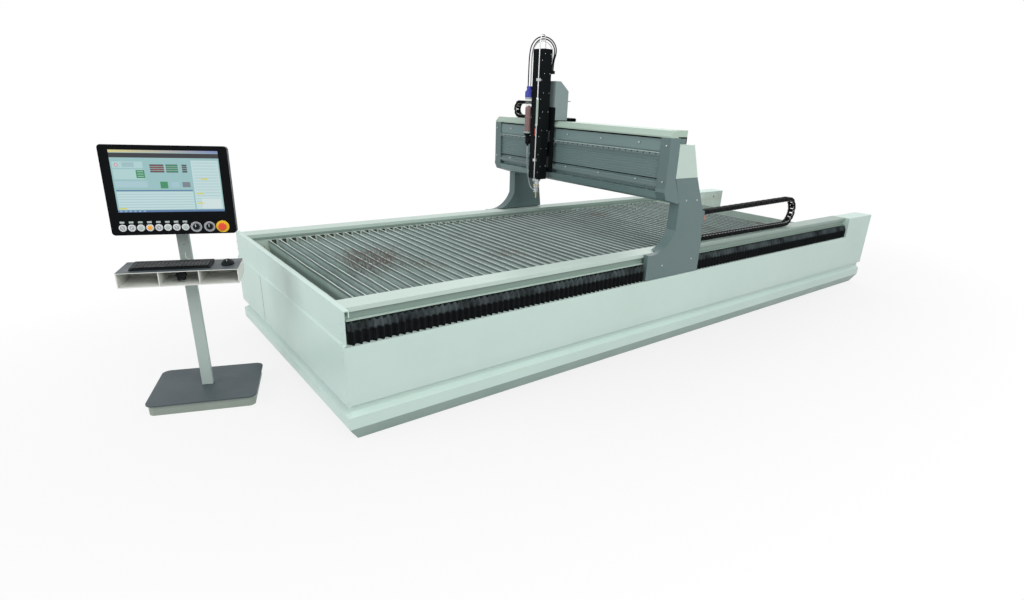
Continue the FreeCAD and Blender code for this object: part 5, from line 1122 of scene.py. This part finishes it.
class WATERJET_OT_tank(Maker, bpy.types.Operator):
    """Lays the weld beads in the tank's corners and over the seams of its plates"""

    bl_idname = "waterjet.tank"
    bl_label = "Tank welds"

    def make(self, scene):
        bead = scene.waterjet_bed.bead
        left, right = TANK_LOW[0] + LEFT_PLATE, TANK_HIGH[0] - RIGHT_PLATE
        floor, top, wall = TANK_FLOOR, TANK_HIGH[2] - WELD_STOP, INNER_FACE
        beads = [weld((left, side * wall, floor), (right, side * wall, floor), bead) for side in (-1, 1)]
        beads += [weld((x, -wall, floor), (x, wall, floor), bead) for x in (left, right)]
        beads += [weld((x, side * wall, floor), (x, side * wall, top), bead)
                  for x in (left, right) for side in (-1, 1)]
        beads += [weld((x, -wall, floor), (x, wall, floor), 0.7 * bead)
                  for x in np.linspace(left, right, 5)[1:-1]]
        beads += [weld((left, y, floor), (left, y, top), 0.7 * bead) for y in (-END_JOINT_Y, END_JOINT_Y)]
        put("tank_welds", joined(beads), "tank_steel", "bed")


class WATERJET_OT_bed_fasteners(Maker, bpy.types.Operator):
    """Sets the screws and the seam of the left end"""

    bl_idname = "waterjet.bed_fasteners"
    bl_label = "Bed fasteners"

    def make(self, scene):
        face, edge = END_FACE[0], END_FACE[1]
        places = far_too([(face, edge + PANEL_SCREWS_IN, z) for z in PANEL_SCREWS_Z])
        put("end_screws", screws(5.0, 1.6, (-1.0, 0.0, 0.0), places), "bright_steel", "bed")
        section = [(-1.6, -0.2), (1.6, -0.2), (1.0, 0.5), (-1.0, 0.5)]
        seam = run(section, (face, SEAM_Y, END_FACE[2] + 12.0), (face, SEAM_Y, SEAM_TOP),
                   (0.0, 1.0, 0.0), (-1.0, 0.0, 0.0))
        put("end_seam", seam, "chain_black", "bed")


# Gantry

class WATERJET_OT_beam_details(Maker, bpy.types.Operator):
    """Puts the ribs in the beam's recessed panel, the caps on its rails and the screws on its bands"""

    bl_idname = "waterjet.beam_details"
    bl_label = "Beam details"

    def make(self, scene):
        s = scene.waterjet_gantry
        low, high = corners("beam")
        face, reach = low[0], high[1] - 3.0
        panel = face + PANEL_DEPTH
        out = (-1.0, 0.0, 0.0)
        section = [(-3.2, -0.5), (3.2, -0.5), (2.2, 1.2), (-2.2, 1.2)]
        ribs = [run(section, (panel, -reach, z), (panel, reach, z), (0.0, 0.0, 1.0), out)
                for z in np.arange(RIBS_FROM, RIBS_TO, s.rib_pitch)]
        put("panel_ribs", joined(ribs), "beam_grey", "gantry", False)
        rail_low, rail_high = corners("beam_guide_rails")
        y = np.arange(30.0 - reach, reach, s.rail_bolt_pitch)
        cap = turned([(6.0, -0.1), (6.0, 0.1), (5.4, 0.2), (1.0, 0.2)], 12)
        caps = strewn(aimed(cap, out), [(rail_low[0], at, rail_high[2] - 12.0) for at in y])
        put("rail_caps", caps, "chain_black", "gantry")

        def line(x, z, half):
            section = [(-half, -0.2), (half, -0.2), (0.8 * half, 0.5), (-0.8 * half, 0.5)]
            return run(section, (x, -reach, z), (x, reach, z), (0.0, 0.0, 1.0), out)

        # A pale strip along the upper rail's top edge: painted highlight
        put("rail_edge_painted_highlight", line(rail_low[0], rail_high[2] - 2.5, 2.5), "cover_white", "gantry", False)
        # Panel seam; black strips: painted shadow under the top cover, painted shade in the lower gap
        seams = [line(panel, PANEL_SEAM_Z, 3.0), line(face, high[2] - 5.0, 5.0),
                 line(face + GAP_DEPTH - 0.5, low[2] + GAP_RISE, 9.0)]
        put("beam_seams_and_painted_shade", joined(seams), "chain_black", "gantry", False)
        y = np.arange(-779.0, 900.0, 400.0)
        places = [(face, at, z) for z in BAND_SCREWS_Z for at in y]
        places += [(face, side * END_SCREWS_Y, z) for side in (-1.0, 1.0) for z in END_SCREWS_Z]
        put("band_screws", screws(s.screw_radius, 2.2, out, places), "bright_steel", "gantry")
        y = np.arange(90.0 - reach, reach, 2.0 * s.rail_bolt_pitch)
        places = [(face + 16.0, at, low[2] + 98.0) for at in y]
        put("gap_bolts", screws(5.0, 6.0, out, places), "dial_grey", "gantry")


class WATERJET_OT_top_cover(Maker, bpy.types.Operator):
    """Folds the beam's top cover, a narrow strip over the end blocks, and closes the beam beside it"""

    bl_idname = "waterjet.top_cover"
    bl_label = "Top cover"

    def make(self, scene):
        low, high = corners("beam_top_cover")
        inner, strip = corners("beam")[1][1], low[0] + scene.waterjet_gantry.strip_width
        across, up = (1.0, 0.0, 0.0), (0.0, 0.0, 1.0)

        def folded(rear, start, end):
            section = [(low[0], low[2]), (rear, low[2]), (rear, high[2]), (low[0] + 36.0, high[2]),
                       (low[0], low[2] + 10.0)]
            return run(section, (0.0, start, 0.0), (0.0, end, 0.0), across, up)

        shape = joined([folded(high[0], -inner, inner), mirrored(folded(strip, low[1], -inner))])
        put("folded_top_cover", shape, "beam_cover", "gantry", False, ["beam_top_cover"])
        left, foot = corners("beam_ends")[1][0], corners("leg_covers")[1][2]
        section = [(left, foot), (high[0], foot), (high[0], low[2]), (left, low[2])]
        plate = run(section, (0.0, -inner, 0.0), (0.0, 4.0 - inner, 0.0), across, up)
        put("beam_end_plates", mirrored(plate), "machine_grey", "gantry", False)


class WATERJET_OT_leg_details(Maker, bpy.types.Operator):
    """Sets the screws of the leg plates"""

    bl_idname = "waterjet.leg_details"
    bl_label = "Leg details"

    def make(self, scene):
        places = [(x, LEG_LOW[1], z) for x, z in LEG_SCREWS]
        heads = screws(scene.waterjet_gantry.screw_radius, 1.8, (0.0, -1.0, 0.0), places)
        put("leg_screws", mirrored(heads), "bright_steel", "gantry")


# Head

class WATERJET_OT_column_details(Maker, bpy.types.Operator):
    """Bolts the column's plate and finishes the pressure tube's sleeve and its guard"""

    bl_idname = "waterjet.column_details"
    bl_label = "Column details"

    def make(self, scene):
        s = scene.waterjet_head
        z = np.arange(COLUMN_LOW[2] + BOLTS_FROM, COLUMN_HIGH[2] - BOLTS_FROM, s.column_bolt_pitch)
        rows = (COLUMN_LOW[1] + BOLTS_IN, COLUMN_HIGH[1] - BOLTS_IN)
        places = [(COLUMN_LOW[0], y, at) for y in rows for at in z]
        put("column_bolts", screws(3.6, 2.2, (-1.0, 0.0, 0.0), places), "bright_steel", "head")
        rows = (COLUMN_LOW[0] + SIDE_BOLTS_IN, COLUMN_HIGH[0] - SIDE_BOLTS_IN)
        places = [(x, COLUMN_LOW[1], at + SIDE_BOLTS_RISE) for x in rows for at in z]
        put("column_side_bolts", screws(3.2, 1.8, (0.0, -1.0, 0.0), places), "bright_steel",
            "head")
        x, y = (TUBE_LOW[:2] + TUBE_HIGH[:2]) / 2.0
        nut = turned([(9.0, -9.0), (11.4, -7.0), (11.4, 7.0), (9.0, 9.0)], 6)
        nuts = [shifted(nut, (x, y, at)) for at in (TUBE_LOW[2] + 6.0, TUBE_HIGH[2] - 6.0)]
        put("sleeve_nuts", joined(nuts), "bright_steel", "head", False)
        guard = shifted(block(4.5, 11.0, 62.0, 2.0), (COLUMN_LOW[0] - 4.0, y + GUARD_SIDE, GUARD_Z))
        put("red_guard", guard, "tag_red", "head", False)


class WATERJET_OT_head_details(Maker, bpy.types.Operator):
    """Adds the collars of the cutting head and its nozzle and the grains in the hopper"""

    bl_idname = "waterjet.head_details"
    bl_label = "Head details"

    def make(self, scene):
        tip_low, tip_high = corners("focusing_tube")
        axis = ((tip_low[0] + tip_high[0]) / 2.0, (tip_low[1] + tip_high[1]) / 2.0, 0.0)
        low, neck = tip_low[2], tip_high[2]

        def collar(rise, profile, segments):
            return turned([(radius, rise + height) for radius, height in profile], segments)

        collars = [collar(neck, ((33.0, 110.0), (34.6, 112.0), (34.6, 120.0), (33.0, 123.0)), 28),
                   collar(neck, ((24.0, 1.0), (26.0, 3.0), (26.0, 10.0), (22.0, 13.0)), 6)]
        put("head_collars", shifted(joined(collars), axis), "bright_steel", "head")
        brass = [collar(neck, ((6.0, -14.0), (9.5, -12.5), (9.5, -2.0), (7.0, 0.0)), 6),
                 collar(low, ((5.2, 3.0), (6.2, 4.0), (6.2, 9.0), (5.2, 10.0)), 20),
                 collar(neck, ((27.0, 58.0), (28.6, 60.0), (28.6, 68.0), (27.0, 70.0)), 6)]
        put("nozzle_collars", shifted(joined(brass), axis), "nozzle_brass", "head")
        x, y = (HOPPER_LOW[:2] + HOPPER_HIGH[:2]) / 2.0
        low, top = HOPPER_LOW[2], scene.waterjet_head.abrasive_top
        pile = turned([(2.0, low + 3.2), (30.0, low + 3.2), (30.8, low + 8.0), (30.8, top - 14.0),
                       (24.0, top - 6.0), (13.0, top), (1.0, top + 6.0)], 36)
        put("garnet_grains", shifted(pile, (x, y, 0.0)), "garnet", "head")
        ring = turned([(34.0, 0.0), (35.6, 1.5), (35.6, 12.0), (34.0, 13.5)], 36)
        rings = [shifted(ring, (x, y, z)) for z in (low, HOPPER_HIGH[2] - 15.0)]
        put("hopper_rings", joined(rings), "pole_grey", "head")


# Console

def plate(x0, z0, x1, z1, front, back):
    """Thin upright plate in the monitor's frame."""
    points = [(x, y, z) for y in (front, back) for x, z in ((x0, z0), (x1, z0), (x1, z1), (x0, z1))]
    faces = [[0, 1, 2, 3], [7, 6, 5, 4], [0, 4, 5, 1], [1, 5, 6, 2], [2, 6, 7, 3], [3, 7, 4, 0]]
    return np.array(points), faces


def screen_layout():
    """Plain blocks of a control screen: (left, bottom, right, top, colour, layer)."""
    pale, panel, line = (0.36, 0.62, 0.63), (0.5, 0.76, 0.76), (0.09, 0.2, 0.42)
    green, dark, red = (0.03, 0.3, 0.13), (0.05, 0.09, 0.1), (0.2, 0.06, 0.06)
    warm, cold = np.array((0.8, 0.72, 0.3)), np.array((0.22, 0.3, 0.6))
    half, foot, top, left = SCREEN_HALF, SCREEN_FOOT, SCREEN_TOP, 8.0 - SCREEN_HALF
    steps = 24
    edges = np.linspace(-half, half, steps + 1)

    def rows(count, x0, z, x1, high, pitch, colour, layer):
        return [(x0, z + pitch * k, x1, z + pitch * k + high, colour, layer) for k in range(count)]

    blocks = [(-half, foot, half, top, pale, 0), (-half, 172.0, half, 196.0, (0.01, 0.012, 0.02), 1)]
    blocks += [(edges[i], 198.0, edges[i + 1], top, tuple(warm + (cold - warm) * i / (steps - 1.0)), 1)
               for i in range(steps)]
    blocks += [(left, 118.0, -110.0, 152.0, panel, 1), (-205.0, 124.0, -150.0, 148.0, (0.4, 0.6, 0.66), 2),
               (left, 60.0, -110.0, 112.0, panel, 1), (-146.0, 66.0, -106.0, 108.0, green, 2),
               (left, 18.0, -100.0, 50.0, (0.45, 0.68, 0.74), 1)]
    blocks += rows(3, -140.0, 98.0, -112.0, 3.0, -12.0, (0.5, 0.75, 0.6), 3)
    for x0, x1, base in ((-78.0, -12.0, red), (-2.0, 54.0, green), (74.0, 98.0, dark)):
        blocks.append((x0, 96.0, x1, 138.0, dark, 1))
        blocks += rows(4, x0 + 3.0, 99.0, x1 - 3.0, 6.0, 10.0, base, 2)
        blocks += rows(3, x0 - 3.0, 106.0, x1 + 3.0, 2.0, 10.0, (0.5, 0.66, 0.64), 3)
    blocks += [(-40.0, 12.0, -4.0, 48.0, green, 1), (66.0, 18.0, 104.0, 46.0, (0.2, 0.25, 0.3), 1),
               (14.0, 18.0, 50.0, 46.0, (0.42, 0.66, 0.74), 1)]
    blocks += [(left, -2.0, 112.0, 4.0, line, 1), (left, -100.0, 112.0, -6.0, (0.62, 0.84, 0.85), 1)]
    blocks += rows(6, -246.0, -20.0, 108.0, 3.0, -14.0, (0.4, 0.63, 0.66), 2)
    blocks += [(120.0, -100.0, 252.0, 160.0, (0.63, 0.84, 0.85), 1)]
    blocks += rows(14, 126.0, 146.0, 246.0, 3.0, -16.0, (0.42, 0.65, 0.68), 2)
    blocks += [(x, z, x + 34.0, z + 7.0, (0.8, 0.75, 0.08), 3)
               for x, z in ((158.0, 58.0), (128.0, -20.0), (128.0, -72.0), (-248.0, -98.0))]
    blocks += [(150.0, -98.0, 244.0, -44.0, (0.75, 0.9, 0.9), 3), (-half, foot, half, -103.0, line, 1)]
    blocks += [(left + 22.0 * k, -112.0, left + 12.0 + 22.0 * k, -105.0, (0.3, 0.5, 0.75), 2)
               for k in range(6)]
    return blocks


class WATERJET_OT_screen(Maker, bpy.types.Operator):
    """Lays the plain lit blocks on the control screen"""

    bl_idname = "waterjet.screen"
    bl_label = "Screen"

    def make(self, scene):
        blocks = screen_layout()
        depth = (0.36, 0.26, 0.16, 0.06)
        tiles = [plate(x0, z0, x1, z1, depth[layer], 0.5) for x0, z0, x1, z1, _, layer in blocks]
        tints = [colour for *_, colour, layer in blocks]
        for radius, rise, colour in ((9.0, 0.36, (0.7, 0.25, 0.35)), (5.0, 0.44, (0.75, 0.85, 0.88))):
            disc = turned([(radius, 0.0), (radius, rise - 0.02), (0.4 * radius, rise)], 24)
            tiles.append(shifted(aimed(disc, (0.0, -1.0, 0.0)), (-232.0, 0.5, 134.0)))
            tints.append(colour)
        points, faces = joined(tiles)
        piece = put("screen_blocks", (on_monitor(points), faces), "screen_tiles", "bed", False)
        colours = [np.tile((*tone, 1.0), (sum(len(face) for face in tile[1]), 1))
                   for tone, tile in zip(tints, tiles)]
        layer = piece.data.attributes.new("tint", "FLOAT_COLOR", "CORNER")
        layer.data.foreach_set("color", np.concatenate(colours).astype(np.float32).ravel())


def on_face(shape, x, z=BUTTON_ROW):
    """Turned shape laid on the monitor's face at x and z, its axis towards the user."""
    points, faces = shifted(aimed(shape, (0.0, -1.0, 0.0)), (x, 0.0, z))
    return on_monitor(points), faces


def spun(shape, angle):
    """Shape turned about its own upright axis."""
    c, w = math.cos(angle), math.sin(angle)
    points, faces = shape
    return points @ np.array([(c, w, 0.0), (-w, c, 0.0), (0.0, 0.0, 1.0)]), faces


class WATERJET_OT_controls(Maker, bpy.types.Operator):
    """Adds the button rings and lenses, the small tiles over them and the dials round the knobs"""

    bl_idname = "waterjet.controls"
    bl_label = "Controls"

    def make(self, scene):
        s = scene.waterjet_console
        centres = FIRST_BUTTON + s.button_pitch * np.arange(8)
        ring = turned([(19.5, 0.0), (19.0, 1.6), (16.8, 2.0), (16.4, 0.4)], 28)
        put("button_rings", joined([on_face(ring, x) for x in centres]), "bright_steel", "bed")
        lens = turned([(12.2, 5.8), (12.0, 6.6), (8.0, 7.2), (0.5, 7.4)], 24)
        put("lit_lens", on_face(lens, centres[3]), "lamp_amber", "bed")
        put("grey_lenses", joined([on_face(lens, centres[k]) for k in (2, 5, 7)]), "pole_grey", "bed")
        put("dark_lenses", joined([on_face(lens, centres[k]) for k in (0, 1, 4, 6)]), "dial_grey", "bed")
        bar = shifted(block(2.0, 8.0, 1.4, 0.5), (0.0, 0.0, 6.6))
        leans = ((0, 0.6), (1, -0.5), (4, 0.7), (6, 0.5))
        marks = [on_face(spun(bar, lean), centres[k]) for k, lean in leans]
        put("button_marks", joined(marks), "button_white", "bed")
        tile = block(11.0, 5.2, 0.7, 0.3)
        tiles = [on_face(tile, x, BUTTON_ROW + TILES_RISE) for x in centres]
        put("small_tiles", joined(tiles), "pole_grey", "bed")
        dial = turned([(s.dial_radius, 0.0), (s.dial_radius - 0.5, 0.7), (20.0, 1.0), (18.0, 0.6)], 40)
        put("dials", joined([on_face(dial, x) for x in DIALS_X]), "dial_grey", "bed")
        mark = shifted(block(1.6, 7.0, 0.5, 0.2), (0.0, 7.0, 18.0))
        for side, x in zip(("left", "right"), DIALS_X):
            put(side + "_pointer", on_face(mark, x), "button_white", side + "_knob")
        tick = shifted(block(0.7, 2.4, 0.5, 0.2), (0.0, s.dial_radius - 5.0, 0.9))
        ticks = [on_face(spun(tick, angle), x) for angle in np.radians(np.arange(-140.0, 141.0, 28.0))
                 for x in DIALS_X]
        put("dial_ticks", joined(ticks), "button_white", "bed")


class WATERJET_OT_keyboard(Maker, bpy.types.Operator):
    """Sets the keys of the keyboard, the mouse's wheel and the pole's screw"""

    bl_idname = "waterjet.keyboard"
    bl_label = "Keyboard"

    def make(self, scene):
        pitch = scene.waterjet_console.key_pitch
        seat = KEY_TOP - 0.8
        gaps = {0: range(4, 9), 5: (1, 6, 11, 16)}
        keys = [(KEYS_LEFT + column * pitch, KEYS_FRONT + row * pitch + (6.0 if row == 5 else 0.0), seat)
                for row in range(6) for column in range(20) if column not in gaps.get(row, ())]
        half = 0.43 * pitch
        cap = block(half, half, 3.6, 1.4)
        bar = shifted(block(2.0 * pitch + half, half, 3.6, 1.4),
                      (KEYS_LEFT + 6.0 * pitch, KEYS_FRONT, seat))
        points, faces = joined([strewn(cap, keys), bar])
        put("keys", (on_console(points), faces), "key_caps", "bed", False)
        wheel = aimed(turned([(6.0, -2.6), (7.6, -1.8), (7.6, 1.8), (6.0, 2.6)], 20), (1.0, 0.0, 0.0))
        points, faces = shifted(wheel, (WHEEL_X, WHEEL_Y, corners("mouse")[1][2] - 5.0))
        put("mouse_wheel", (on_console(points), faces), "dial_grey", "bed")
        head = aimed(screw(5.0, 2.4), (0.0, -1.0, 0.0))
        points, faces = shifted(head, (0.0, -17.0, TRAY_TOP + 96.0))
        put("pole_screw", (on_console(points), faces), "dial_grey", "bed")


SETTINGS = {"waterjet_camera": CameraSettings, "waterjet_stage": StageSettings,
            "waterjet_bed": BedSettings, "waterjet_gantry": GantrySettings,
            "waterjet_head": HeadSettings, "waterjet_console": ConsoleSettings,
            "waterjet_colours": ColourSettings}
STEPS = (WATERJET_OT_camera, WATERJET_OT_dress_frame, WATERJET_OT_hoses, WATERJET_OT_stage,
         WATERJET_OT_slats, WATERJET_OT_combs, WATERJET_OT_bellows, WATERJET_OT_chains,
         WATERJET_OT_tank, WATERJET_OT_bed_fasteners, WATERJET_OT_beam_details,
         WATERJET_OT_top_cover, WATERJET_OT_leg_details, WATERJET_OT_column_details,
         WATERJET_OT_head_details, WATERJET_OT_screen, WATERJET_OT_controls, WATERJET_OT_keyboard)


class WATERJET_PT_panel(bpy.types.Panel):
    """Settings and steps of the waterjet machine's looks"""

    bl_label = "Waterjet Machine"
    bl_space_type = "VIEW_3D"
    bl_region_type = "UI"
    bl_category = "Waterjet"

    def draw(self, context):
        for name, kind in SETTINGS.items():
            column = self.layout.column(heading=name.split("_")[1].title())
            for setting in kind.__annotations__:
                column.prop(getattr(context.scene, name), setting)
        for step in STEPS:
            self.layout.operator(step.bl_idname)


def register():
    """Registers the settings, the steps and the panel."""
    for kind in (*SETTINGS.values(), *STEPS, WATERJET_PT_panel):
        bpy.utils.register_class(kind)
    for name, kind in SETTINGS.items():
        setattr(bpy.types.Scene, name, PointerProperty(type=kind))


def unregister():
    """Takes them away again."""
    for name in SETTINGS:
        delattr(bpy.types.Scene, name)
    for kind in (WATERJET_PT_panel, *reversed(STEPS), *SETTINGS.values()):
        bpy.utils.unregister_class(kind)


def main():
    """Runs the steps in order and sets the plain view transform."""
    register()
    bpy.ops.waterjet.camera()
    bpy.ops.waterjet.dress_frame()
    bpy.ops.waterjet.hoses()
    bpy.ops.waterjet.stage()
    bpy.ops.waterjet.slats()
    bpy.ops.waterjet.combs()
    bpy.ops.waterjet.bellows()
    bpy.ops.waterjet.chains()
    bpy.ops.waterjet.tank()
    bpy.ops.waterjet.bed_fasteners()
    bpy.ops.waterjet.beam_details()
    bpy.ops.waterjet.top_cover()
    bpy.ops.waterjet.leg_details()
    bpy.ops.waterjet.column_details()
    bpy.ops.waterjet.head_details()
    bpy.ops.waterjet.screen()
    bpy.ops.waterjet.controls()
    bpy.ops.waterjet.keyboard()
    bpy.context.scene.view_settings.view_transform = "Standard"


if __name__ == "__main__":
    main()
